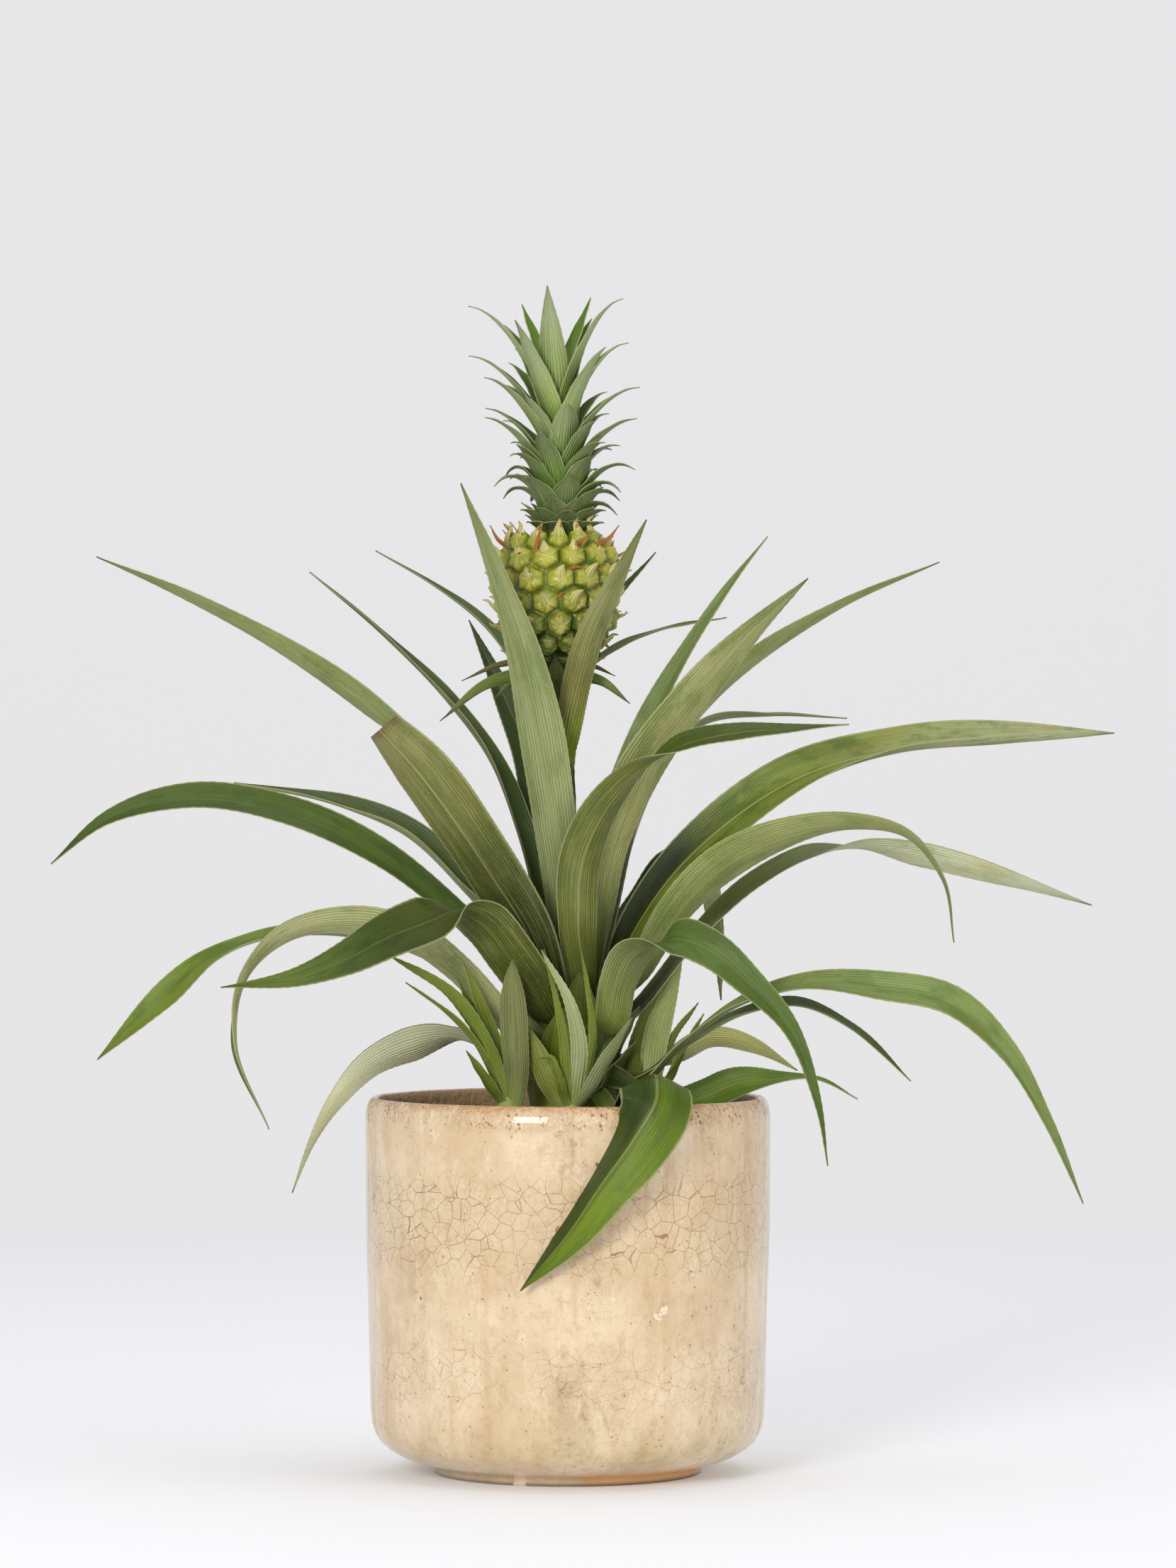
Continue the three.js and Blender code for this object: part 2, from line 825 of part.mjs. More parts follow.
// Young shoots: foot in the soil, core height and radius, then leaves like those above but
// growing out of the core: bearing, height, width share
const SHOOTS = {
  shoot_left: {
    at: [-23, -31],
    core: [121, 150, 4.6],
    leaves: [
      {
        wide: 12, cup: [120, 90], widest: 0.55, point: 2.6, end: 2, face: [1, 9, 0],
        midrib: [[-20.5, -34, 143], [-20.6, -37, 156], [-21.4, -40, 172], [-22, -41, 188],
          [-22, -40, 202]],
      },
      {
        wide: 8, cup: [80, 45], face: [6, 7, 3],
        midrib: [[-23.5, -32, 143], [-27, -33, 154], [-34, -33, 171], [-46, -34, 188],
          [-71, -35, 204]],
      },
      {
        wide: 7, cup: [80, 45], face: [6, 3, 5],
        midrib: [[-24, -30, 143], [-30, -30, 156], [-37.5, -30, 170], [-48, -30, 181],
          [-64, -29, 193]],
      },
      {
        wide: 7, cup: [70, 45], face: [4, -8, 2],
        midrib: [[-23, -28, 144], [-26, -28, 158], [-31, -28.5, 174], [-41, -29, 200.5]],
      },
      {
        wide: 6, cup: [70, 45], face: [5, -7, 3],
        midrib: [[-24, -29, 143], [-29, -26.5, 158], [-35, -26, 176], [-43.6, -26.5, 194.5]],
      },
      {
        wide: 6.5, cup: [70, 45], face: [6, 6, 3],
        midrib: [[-25, -32, 143], [-29, -34, 149], [-33.5, -36, 156], [-40, -38, 166]],
      },
    ],
  },
  shoot_front: {
    at: [1, -33],
    core: [121, 148, 4.4],
    leaves: [
      {
        wide: 7.5, cup: [80, 50], widest: 0.35, face: [1, 9, 0],
        midrib: [[2.5, -35, 143], [3.2, -37, 154], [4.4, -38.5, 166], [1, -40, 184],
          [-10.6, -41, 206]],
      },
      {
        wide: 4.6, cup: [75, 50], face: [1, 9, 0],
        midrib: [[0, -35, 143], [-0.8, -37.5, 156], [-2, -38.5, 171], [-5, -39, 188],
          [-9.5, -38, 206]],
      },
      {
        wide: 5, cup: [75, 50], face: [-3, 9, 0],
        midrib: [[3, -33, 143], [7, -36, 155], [9.8, -38, 171], [8, -40, 190],
          [5.3, -41, 205]],
      },
      {
        wide: 12, cup: [65, 45], widest: 0.4, face: [3, 9, 1],
        midrib: [[-1.5, -33, 143], [-6.5, -34.5, 152], [-11, -34.5, 162], [-16, -34, 176]],
      },
      {
        wide: 4, cup: [65, 35], face: [3, 8, 1],
        midrib: [[-1, -36, 143], [-2.5, -39, 151], [-4.5, -40.5, 158], [-7, -41, 163.5],
          [-11.5, -41.5, 163]],
      },
      {
        wide: 6, cup: [80, 45], face: [-4, 8, 2],
        midrib: [[3.5, -35, 143], [8, -38, 150], [13, -40, 159], [18.5, -41, 168],
          [25.5, -42, 179.3]],
      },
    ],
  },
  shoot_right: {
    at: [32, 6],
    core: [121, 150, 4.6],
    leaves: [
      {
        wide: 13, cup: [75, 55], widest: 0.5, point: 1.9, face: [-3, 9, 1],
        midrib: [[32, 5, 144], [32.5, 3.5, 154], [34, 2, 168], [38, 1, 184],
          [45, 0, 202]],
      },
      {
        wide: 6, cup: [75, 50], face: [-5, 7, 2],
        midrib: [[30, 4, 143], [25.5, 1, 155], [27, -1, 169], [32, -2.5, 183],
          [41, -3.5, 196]],
      },
      {
        wide: 5.5, cup: [75, 50], face: [-5, 6, 4],
        midrib: [[33, 6, 144], [35.5, 7, 155], [40, 8, 168], [51.5, 8, 185]],
      },
      {
        wide: 5, cup: [75, 50], face: [-5, 5, 5],
        midrib: [[34, 7, 145], [39, 10, 153], [45, 12, 165], [53.7, 13, 180.7]],
      },
      {
        wide: 5, cup: [75, 50], face: [-5, 6, 4],
        midrib: [[33.5, 4, 143], [37, 2, 149], [41, 0.5, 156], [46, -1, 165]],
      },
      {
        wide: 7, cup: [65, 45], face: [-1, 9, 0],
        midrib: [[30, 3, 143], [27, 0.5, 151], [26, -1.5, 160], [25.7, -2.5, 170]],
      },
    ],
  },
};

// Bracts on the stalk under the fruit: bearing, height, reach, drop, width
const STALK_BRACTS = [
  [200, 312, 47, 16, 8],
  [184, 318, 36, 6, 4.5],
  [350, 312, 28, 9, 7],
  [8, 317, 22, 3, 4],
  [268, 311, 9, -11, 10],
  [215, 317, 16, 0, 6],
  [310, 317, 14, 1, 6],
  [120, 316, 24, 4, 7],
  [155, 313, 26, 8, 7],
  [88, 314, 20, 5, 6],
];

// Dried flower tips on the fruit: bearing, height, length, lift, sideways
const FLOWER_TIPS = [
  [196, 364, 9, 9, 2],
  [186, 361, 10, 9, 0],
  [172, 357, 7, 3, 0],
  [248, 362, 6, 10, 4],
  [292, 364, 7, 6, 5],
  [312, 363, 6, 5, 3],
  [332, 365, 9, 8, 2],
  [350, 359, 8, 5, 3],
  [2, 352, 8, 4, 2],
  [0, 335, 9, 4, 2],
  [352, 325, 7, -1, 1],
  [228, 359, 5, 3, 4],
  [250, 351, 5, 3, -3],
  [282, 354, 5, 2, 5],
  [272, 343, 4, 3, 2],
  [238, 332, 5, 2, -3],
  [70, 364, 8, 6, -2],
];

// Crown leaves that make its outline: bearing, height of the foot, reach from the midline,
// height of the bend, height of the tip, width
const CROWN_LEAVES = [
  [262, 424, 9, 452, 467.3, 14],
  [142, 428, 15, 448, 461.5, 11],
  [38, 428, 20, 448, 464.3, 11],
  [226, 414, 21, 440, 453.3, 14],
  [325, 408, 25, 434, 442.7, 14],
  [348, 420, 29, 446, 462.3, 12],
  [186, 420, 33, 440, 459.6, 11],
  [16, 412, 31, 438, 446, 13],
  [172, 408, 34, 430, 440.6, 13],
  [196, 402, 29, 424, 431.2, 13],
  [166, 396, 29, 415, 420, 13],
  [192, 390, 29, 410, 415.6, 13],
  [10, 402, 34, 418, 428.3, 13],
  [350, 392, 32, 407, 415.2, 13],
  [20, 388, 26, 404, 405.3, 13],
  [318, 386, 25, 404, 405, 14],
  [214, 382, 23, 402, 400, 14],
  [160, 380, 23, 401, 393, 13],
  [356, 379, 30, 400, 395.2, 13],
  [196, 377, 27, 397, 388.3, 13],
  [172, 375.5, 23, 392, 384, 13],
  [342, 375.5, 25, 394, 386, 13],
  [14, 375, 24, 390, 383.3, 13],
  [355, 374.5, 22, 384, 377.3, 13],
  [284, 400, 15, 424, 428, 15],
  [248, 390, 18, 414, 416, 15],
  [296, 379, 20, 399, 401, 15],
  [262, 376, 19, 396, 396.5, 15],
  [230, 375, 21, 390, 388, 14],
  [272, 374.5, 19, 384, 380, 14],
  [244, 374.5, 19, 382, 377, 13],
];
const CROWN_BACK_LEAVES = 9;
const CROWN_CORE = [
  [371.3, 10],
  [374, 11.6],
  [384, 11],
  [400, 9],
  [416, 6.6],
  [432, 4],
  [440, 2],
];

function crownAxis(height) {
  return v3(-2.4 - (height - 376) * 0.048, 0, height);
}

// Pot
const INSIDE = [
  [72.4, 141],
  [70.8, 80],
  [69.6, 30],
  [65, 17],
  [52, POT_FLOOR + 0.5],
];

function pot() {
  const lip = POT_RADIUS - 3.4;
  return turned([
    [0, 0],
    [FOOT_RADIUS, 0],
    [55.5, 2.6],
    [66, 7.2],
    [74, 12.8],
    [77.6, 20],
    [78.1, 34],
    [78.6, 63],
    [79.7, 100],
    [POT_RADIUS, 138],
    [79.2, 144.4],
    [lip + 0.4, POT_HEIGHT],
    [POT_RADIUS - POT_WALL + 0.6, POT_HEIGHT - 1.6],
    ...INSIDE,
    [0, POT_FLOOR],
  ], POT_SIDES);
}

function soil() {
  const sides = POT_SIDES;
  const side = INSIDE.slice(1).map(([r, z]) => [r - GAP, z + GAP / 2]).reverse();
  const body = turned([
    [0, POT_FLOOR + GAP + 0.1],
    ...side,
    [71.8, SOIL_LEVEL],
    [56, SOIL_LEVEL + 0.6],
    [38, SOIL_LEVEL + 1.6],
    [20, SOIL_LEVEL + SOIL_HEAP],
    [0, SOIL_LEVEL + SOIL_HEAP],
  ], sides);
  let out = body;
  const [foot] = STEM;
  const holes = [[stemAt(0), foot[2], foot[0]]];
  for (const shoot of Object.values(SHOOTS)) {
    holes.push([v3(shoot.at[0], shoot.at[1], 0), shoot.core[2], shoot.core[0]]);
  }
  for (const [at, radius, depth] of holes) {
    const low = v3(at.x, at.y, depth - GAP);
    const high = v3(at.x, at.y, 160);
    const hole = bar([[low, radius + GAP + 0.25], [high, radius + GAP + 0.25]], 24, false);
    out = out.subtract(hole);
  }
  return out;
}

// Bract or flower tip: a short tapering blade from inside its carrier
function spur(root, out, reach, drop, wide, sideways) {
  const side = v3(-out.y, out.x, 0);
  const points = [
    root.clone(),
    root.clone().addScaledVector(out, reach * 0.55).addScaledVector(UP, 1.5 - drop * 0.15)
      .addScaledVector(side, sideways * 0.3),
    root.clone().addScaledVector(out, reach).addScaledVector(UP, -drop)
      .addScaledVector(side, sideways),
  ];
  const start = out.clone().addScaledVector(UP, 0.5);
  const faces = [UP, UP, UP].map((f) => f.clone().addScaledVector(out, -0.2));
  return blade(points, faces, start, 1, {
    across: 3,
    width: (t) => Math.max(1, wide * (1 - t ** 1.6)),
    channel: () => radians(50),
    thick: () => BLADE,
  });
}

function stem() {
  const stations = STEM.map(([z, x, r]) => [v3(x, 0, z), r]);
  let body = bar(stations, STEM_SIDES, false);
  for (const [turn, height, reach, drop, wide] of STALK_BRACTS) {
    const out = bearing(turn);
    const root = stemAt(height).addScaledVector(out, 1.5);
    body = body.add(spur(root, out, reach, drop, wide, 0));
  }
  return body;
}

// Fruit: one winding row of six-sided fruitlets round a barrel
function fruit() {
  const arc = [0];
  for (let i = 1; i < FRUIT_PROFILE.length; i += 1) {
    const dz = FRUIT_PROFILE[i][0] - FRUIT_PROFILE[i - 1][0];
    const dr = FRUIT_PROFILE[i][1] - FRUIT_PROFILE[i - 1][1];
    arc.push(arc[i - 1] + Math.hypot(dz, dr));
  }
  const rows = FRUIT_PROFILE.map(([z, r], i) => [arc[i], z, r]);
  const length = arc[arc.length - 1];
  const skin = (turn, share, rise) => {
    const s = Math.min(1, Math.max(0, share)) * length;
    const z = along(rows, s, 1);
    const r = along(rows, s, 2);
    const ahead = Math.min(length, s + 0.5);
    const behind = Math.max(0, s - 0.5);
    const dz = along(rows, ahead, 1) - along(rows, behind, 1);
    const dr = along(rows, ahead, 2) - along(rows, behind, 2);
    const norm = Math.hypot(dz, dr);
    const out = bearing(turn);
    return v3(FRUIT_X, 0, z + (-dr / norm) * rise)
      .addScaledVector(out, r + (dz / norm) * rise);
  };
  const perTurn = FRUITLETS_PER_TURN;
  const below = Math.floor(perTurn);
  const count = Math.round(perTurn * FRUITLET_ROWS);
  const place = (k) => [(k * 360) / perTurn, (k + below / 2 + 1) / (count + below + 1)];
  const corners = [];
  const known = new Map();
  const corner = (...cells) => {
    const key = [...cells].sort((a, b) => a - b).join();
    if (!known.has(key)) {
      const turn = cells.reduce((sum, k) => sum + place(k)[0], 0) / 3;
      const low = Math.min(...cells);
      const fixed = cells.map((k) => {
        const turns = Math.round((place(k)[0] - place(low)[0]) / 360);
        return place(k)[0] - turns * 360;
      });
      const middle = fixed.reduce((a, b) => a + b, 0) / 3;
      const share = cells.reduce((sum, k) => sum + place(k)[1], 0) / 3;
      known.set(key, corners.length);
      corners.push(skin(Number.isFinite(middle) ? middle : turn, share, -FRUITLET_GROOVE));
    }
    return known.get(key);
  };
  const triangles = [];
  for (let k = 0; k < count; k += 1) {
    const ring = [
      corner(k, k + 1, k + below + 1),
      corner(k, k + below, k + below + 1),
      corner(k - 1, k, k + below),
      corner(k - below - 1, k - 1, k),
      corner(k - below - 1, k - below, k),
      corner(k - below, k, k + 1),
    ];
    const [turn, share] = place(k);
    const middle = corners.length;
    const jut = FRUITLET_RISE * (1 + 0.25 * draw(k));
    corners.push(skin(turn, share - 0.012, jut + 0.9));
    const shoulder = ring.map((c, j) => {
      const angle = [30, 90, 150, 210, 270, 330][j];
      const wide = (360 / perTurn) * 0.33;
      const tall = 0.3 / (FRUITLET_ROWS + 1);
      const a = turn + wide * Math.cos(radians(angle));
      const s = share + tall * Math.sin(radians(angle));
      corners.push(skin(a, s, jut * 0.75));
      return corners.length - 1;
    });
    for (let j = 0; j < 6; j += 1) {
      const next = (j + 1) % 6;
      triangles.push([ring[j], ring[next], shoulder[next]]);
      triangles.push([ring[j], shoulder[next], shoulder[j]]);
      triangles.push([shoulder[j], shoulder[next], middle]);
    }
  }
  const edges = new Map();
  for (const [a, b, c] of triangles) {
    for (const [p, q] of [[a, b], [b, c], [c, a]]) {
      edges.set(`${p},${q}`, [p, q]);
    }
  }
  const middle = (FRUIT_PROFILE[0][0] + FRUIT_PROFILE[FRUIT_PROFILE.length - 1][0]) / 2;
  const low = corners.length;
  corners.push(v3(FRUIT_X, 0, FRUIT_PROFILE[0][0]));
  corners.push(v3(FRUIT_X, 0, FRUIT_PROFILE[FRUIT_PROFILE.length - 1][0]));
  for (const [p, q] of [...edges.values()]) {
    if (!edges.has(`${q},${p}`)) {
      triangles.push([q, p, corners[p].z < middle ? low : low + 1]);
    }
  }
  let body = solid(corners, triangles);
  for (const [turn, height, reach, lift, sideways] of FLOWER_TIPS) {
    const out = bearing(turn);
    const r = along(FRUIT_PROFILE, height, 1);
    const root = v3(FRUIT_X, 0, height).addScaledVector(out, r - 5);
    body = body.add(spur(root, out, reach + 3, -lift, 2, sideways));
  }
  return body;
}

// Crown leaf: rises from the core, bends out and ends in a fine point
function crownLeaf(turn, foot, reach, bend, tip, wide) {
  const out = bearing(turn);
  const root = crownAxis(foot).addScaledVector(out, along(CROWN_CORE, foot, 1) * 0.45);
  const end = crownAxis(tip).addScaledVector(out, reach);
  const knee = crownAxis(bend).addScaledVector(out, mix(reach, 8, 0.62));
  const at = (t) => root.clone().multiplyScalar((1 - t) ** 2)
    .addScaledVector(knee, 2 * t * (1 - t))
    .addScaledVector(end, t * t);
  const points = [at(0), at(0.38), at(0.72), end];
  const faces = points.map((p, i) => {
    const run = i < points.length - 1
      ? points[i + 1].clone().sub(p)
      : p.clone().sub(points[i - 1]);
    const flat = run.dot(out);
    return out.clone().multiplyScalar(-run.z).addScaledVector(UP, flat);
  });
  const start = points[1].clone().sub(points[0]);
  return blade(points, faces, start, 1, {
    across: 3,
    width: (t) => Math.max(1, wide * Math.min(1, 0.8 + t) * (1 - t ** 2.3)),
    channel: (t) => radians(mix(80, 45, t)),
    thick: () => BLADE,
  });
}

function fruitCrown() {
  const stations = CROWN_CORE.map(([z, r]) => [crownAxis(z), r]);
  let body = bar(stations, 12, false);
  for (const row of CROWN_LEAVES) {
    body = body.add(crownLeaf(...row));
  }
  for (let i = 0; i < CROWN_BACK_LEAVES; i += 1) {
    const share = i / (CROWN_BACK_LEAVES - 1);
    const turn = 90 + 58 * Math.sin(i * 2.4 + 0.6);
    const foot = mix(375, 420, share);
    const reach = mix(20, 24, Math.sin(share * Math.PI)) + 2 * draw(i + 3);
    const bend = foot + mix(19, 24, share);
    const tip = foot + mix(14, 34, share);
    body = body.add(crownLeaf(turn, foot, reach, bend, tip, mix(9, 11, share)));
  }
  const shelf = 371.3;
  const under = [[v3(-4, 0, shelf - 60), 60], [v3(-4, 0, shelf), 60]];
  return whole(body.subtract(bar(under, 12, false)));
}

// Shoot: leaves grown together on a short core
function shoot(spec) {
  const [low, high, radius] = spec.core;
  const [x, y] = spec.at;
  let body = bar([
    [v3(x, y, low), radius],
    [v3(x, y, high - 8), radius],
    [v3(x, y, high), radius * 0.5],
  ], 12, false);
  for (const leaf of spec.leaves) {
    const [first, ...rest] = leaf.midrib.map(sighted);
    const inside = v3(mix(first.x, x, 0.5), mix(first.y, y, 0.5), first.z);
    const points = [inside, ...rest];
    const faces = points.map(() => v3(...leaf.face));
    const start = rest[0].clone().sub(inside);
    const width = strapWidth({ ...leaf, foot: [0, 0, 0.7] });
    const [mid, tip] = leaf.cup;
    body = body.add(blade(points, faces, start, 1, {
      across: 3,
      width,
      channel: (t) => radians(mix(mid, tip, t)),
      thick: (t) => mix(1.1, BLADE, ease(t / 0.3)),
    }));
  }
  return body;
}

// The largest piece of a body
function whole(body) {
  return body.decompose().sort((a, b) => b.volume() - a.volume())[0];
}

// Body bent clear of the leaves that stand inside it: where it would still touch one, it is
// cut back by the gap, and the piece that carries the blade is kept
function clearOf(body, leaves) {
  let out = body;
  for (const leaf of leaves) {
    if (out.intersect(strapLeaf(leaf, GAP / 2)).volume() > 0) {
      out = out.subtract(strapLeaf(leaf, GAP));
    }
  }
  return whole(out);
}

// Colours
const COLOURS = {
  pot: [0xe3cfa9, 0.35],
  soil: [0x241a12, 0.95],
  stem: [0x6f7a34, 0.6],
  fruit: [0xa3a545, 0.45],
  crown: [0x7f9a60, 0.5],
  leaf: [0x6b8248, 0.45],
  shoot: [0x93a55c, 0.5],
};

const plant = new THREE.Group();
plant.name = 'potted_pineapple_plant';

function place(name, body, [colour, roughness]) {
  const { vertProperties, triVerts, numProp } = body.getMesh();
  const geometry = new THREE.BufferGeometry();
  const at = new Float32Array((vertProperties.length / numProp) * 3);
  for (let i = 0; i < at.length / 3; i += 1) {
    for (let k = 0; k < 3; k += 1) {
      at[i * 3 + k] = vertProperties[i * numProp + k];
    }
  }
  geometry.setAttribute('position', new THREE.BufferAttribute(at, 3));
  geometry.setIndex(new THREE.BufferAttribute(new Uint32Array(triVerts), 1));
  geometry.computeVertexNormals();
  const material = new THREE.MeshStandardMaterial({ color: colour, roughness, metalness: 0 });
  const mesh = new THREE.Mesh(geometry, material);
  mesh.name = name;
  plant.add(mesh);
}

place('pot', pot(), COLOURS.pot);
place('potting_soil', soil(), COLOURS.soil);
place('stem', stem(), COLOURS.stem);
place('fruit', fruit(), COLOURS.fruit);
place('fruit_crown', fruitCrown(), COLOURS.crown);
const rosette = Object.entries({ ...LEAVES, ...STALK_LEAVES })
  .sort((a, b) => b[1].foot[1] - a[1].foot[1]);
const inner = [];
for (const [name, leaf] of rosette) {
  place(name, clearOf(strapLeaf(leaf, 0), inner), COLOURS.leaf);
  inner.push(leaf);
}
for (const [name, spec] of Object.entries(SHOOTS)) {
  place(name, clearOf(shoot(spec), inner), COLOURS.shoot);
}

export default plant;
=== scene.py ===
# Potted pineapple plant: arching strap leaves round a short stem, a small fruit with its tuft
# on a stalk and three young shoots, in a glazed stoneware pot with a crackled cream glaze.
import bpy
import bmesh
import math
import random
from mathutils import Matrix, Vector, noise


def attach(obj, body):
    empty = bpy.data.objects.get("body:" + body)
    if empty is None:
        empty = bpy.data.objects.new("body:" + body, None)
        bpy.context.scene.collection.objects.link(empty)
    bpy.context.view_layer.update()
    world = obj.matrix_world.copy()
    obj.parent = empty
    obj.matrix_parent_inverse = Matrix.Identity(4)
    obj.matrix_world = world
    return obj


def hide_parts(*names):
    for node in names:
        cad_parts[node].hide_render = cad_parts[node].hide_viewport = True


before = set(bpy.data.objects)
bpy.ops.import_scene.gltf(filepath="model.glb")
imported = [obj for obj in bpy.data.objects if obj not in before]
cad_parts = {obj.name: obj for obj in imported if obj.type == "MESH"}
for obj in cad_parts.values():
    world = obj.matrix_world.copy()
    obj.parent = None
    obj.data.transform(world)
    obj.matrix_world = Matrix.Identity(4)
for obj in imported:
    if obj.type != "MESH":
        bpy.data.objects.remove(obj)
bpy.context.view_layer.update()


# The pot is thrown stoneware with a cream glaze that has crazed in brown lines. The glaze
# breaks to orange brown on the lip, runs thin at the foot and is left off inside the neck.
MM = 0.001


def paint(red, green, blue):
    """A colour as it reads on a colour chart, for a shader socket."""
    def light(level):
        share = level / 255
        return share / 12.92 if share <= 0.04045 else ((share + 0.055) / 1.055) ** 2.4
    return (light(red), light(green), light(blue), 1.0)


class Socket:
    """What one node of a finish gives out. Sums on it become Math nodes."""

    def __init__(self, finish, out):
        self.finish = finish
        self.out = out

    def reckon(self, operation, first, second=0.0):
        return self.finish.node("ShaderNodeMath", {"operation": operation}, {0: first, 1: second})

    def __add__(self, other):
        return self.reckon("ADD", self, other)

    def __radd__(self, other):
        return self.reckon("ADD", other, self)

    def __sub__(self, other):
        return self.reckon("SUBTRACT", self, other)

    def __rsub__(self, other):
        return self.reckon("SUBTRACT", other, self)

    def __mul__(self, other):
        return self.reckon("MULTIPLY", self, other)

    def __rmul__(self, other):
        return self.reckon("MULTIPLY", other, self)

    def __pow__(self, other):
        return self.reckon("POWER", self, other)

    def between(self, low, high):
        """0 at low, 1 at high and smooth in between; low may be the larger."""
        ends = (low, high, 0.0, 1.0) if low <= high else (high, low, 1.0, 0.0)
        return self.finish.node("ShaderNodeMapRange", {"interpolation_type": "SMOOTHSTEP"},
                                {0: self, **dict(enumerate(ends, 1))})


class Finish:
    """A surface finish, laid up node by node on one Principled surface."""

    def __init__(self, name, **constants):
        self.material = bpy.data.materials.new(name)
        self.material.use_nodes = True
        self.nodes = self.material.node_tree.nodes
        self.links = self.material.node_tree.links
        self.surface = self.nodes["Principled BSDF"]
        self.colour = None
        for socket, value in constants.items():
            self.surface.inputs[socket.replace("_", " ")].default_value = value

    def feed(self, socket, value):
        if isinstance(value, Socket):
            self.links.new(value.out, socket)
        else:
            socket.default_value = value

    def node(self, kind, settings=None, inputs=None, out=0):
        made = self.nodes.new(kind)
        for key, value in (settings or {}).items():
            setattr(made, key, value)
        for key, value in (inputs or {}).items():
            self.feed(made.inputs[key], value)
        return Socket(self, made.outputs[out])

    def place(self):
        """Where a spot lies on the part, in metres."""
        return self.node("ShaderNodeTexCoord", out="Object")

    def split(self, vector):
        """A vector's three measures, one by one."""
        parts = self.node("ShaderNodeSeparateXYZ", {}, {0: vector}).out.node.outputs
        return [Socket(self, part) for part in parts]

    def stretch(self, vector, by):
        return self.node("ShaderNodeVectorMath", {"operation": "MULTIPLY"}, {0: vector, 1: by})

    def cloud(self, vector, scale, detail=3.0, rough=0.55):
        """Soft clouds, this many to the metre, or so many along each of the three axes."""
        if isinstance(scale, tuple):
            vector, scale = self.stretch(vector, scale), 1.0
        return self.node("ShaderNodeTexNoise", {}, {
            "Vector": vector, "Scale": scale, "Detail": detail, "Roughness": rough})

    def cells(self, vector, scale, feature="F1"):
        return self.node(
            "ShaderNodeTexVoronoi", {"feature": feature}, {"Vector": vector, "Scale": scale})

    def blend(self, share, first, second, way="MIX"):
        return self.node("ShaderNodeMix", {"data_type": "RGBA", "blend_type": way},
                         {0: share, 6: first, 7: second}, out=2)

    def lay(self, share, tone):
        """Lays one more tone over the colour so far."""
        self.colour = self.blend(share, self.colour, tone)

    def wear(self, socket, value):
        self.feed(self.surface.inputs[socket], value)

    def bump(self, height, strength, depth):
        self.wear("Normal", self.node("ShaderNodeBump", {}, {
            "Strength": strength, "Distance": depth, "Height": height}))


def placed(name, data):
    """Sets a mesh, a lamp or the camera in the scene."""
    piece = bpy.data.objects.new(name, data)
    bpy.context.scene.collection.objects.link(piece)
    return piece


def skinned(bm, name, finish):
    """Turns a worked mesh into a piece with its finish on."""
    mesh = bpy.data.meshes.new(name)
    bm.to_mesh(mesh)
    bm.free()
    mesh.materials.append(finish.material)
    return placed(name, mesh)


def finished(bm, name, slot, finish, *nodes):
    """A smooth shaded piece that rides on the part, in the place of these nodes."""
    piece = skinned(bm, name, finish)
    for face in piece.data.polygons:
        face.use_smooth = True
    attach(piece, "root")
    if nodes:
        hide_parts(*nodes)


def thrown(profile, steps, waver):
    """Spins a profile of (radius, height) in mm on the wheel; waver is how far it is off true."""
    bm = bmesh.new()
    line = [bm.verts.new((r * MM, 0, z * MM)) for r, z in profile]
    edges = [bm.edges.new(pair) for pair in zip(line, line[1:])]
    bmesh.ops.spin(bm, geom=line + edges, cent=(0, 0, 0), axis=(0, 0, 1), angle=math.tau,
                   steps=steps, use_merge=True, use_duplicate=False)
    bmesh.ops.remove_doubles(bm, verts=bm.verts, dist=0.00001)
    for vert in bm.verts:
        flat = Vector((vert.co.x, vert.co.y, 0))
        if flat.length > 0.02 and vert.co.z > 0.004:
            off = noise.noise(vert.co * 14) + 0.5 * noise.noise(vert.co * 33 + Vector((5, 0, 0)))
            vert.co += flat.normalized() * off * waver * MM
            vert.co.z += 0.5 * waver * MM * noise.noise(flat * 25)
    bmesh.ops.recalc_face_normals(bm, faces=bm.faces)
    return bm


POT_RADIUS = 80
POT_HEIGHT = 148
POT_SIDES = 160
POT_WAVER = 0.32
LIP = 3.5
LIP_DROP = 8.5


def lip(first, last, step, drop):
    """The lip's round between two angles, from its top down over a drop."""
    return [(POT_RADIUS - LIP + LIP * math.cos(math.radians(a)),
             POT_HEIGHT - drop + drop * math.sin(math.radians(a)))
            for a in range(first, last, step)]


pot = thrown(
    [(0, 1.2), (44, 1.2), (46, 0), (51.8, 0), (52.7, 0.5), (52.9, 1.6), (52.7, 2.7), (53.3, 3.5),
     (55.2, 3.9), (58, 4.5), (62, 5.6), (66, 7.2), (70.4, 9.7), (73.8, 12.6), (76, 16),
     (77.3, 20), (77.9, 26), (78.1, 36), (78.4, 50), (78.7, 65), (79.2, 82), (79.6, 100),
     (79.8, 116), (79.9, 128), (POT_RADIUS, 134)]
    + lip(0, 90, 9, LIP_DROP) + lip(90, 181, 15, LIP)
    + [(72.6, 141), (72.2, 135), (71.9, 128), (71.2, 100), (70.8, 80), (69.6, 30),
       (65, 17), (52, 12), (0, 11.5)],
    POT_SIDES, POT_WAVER)

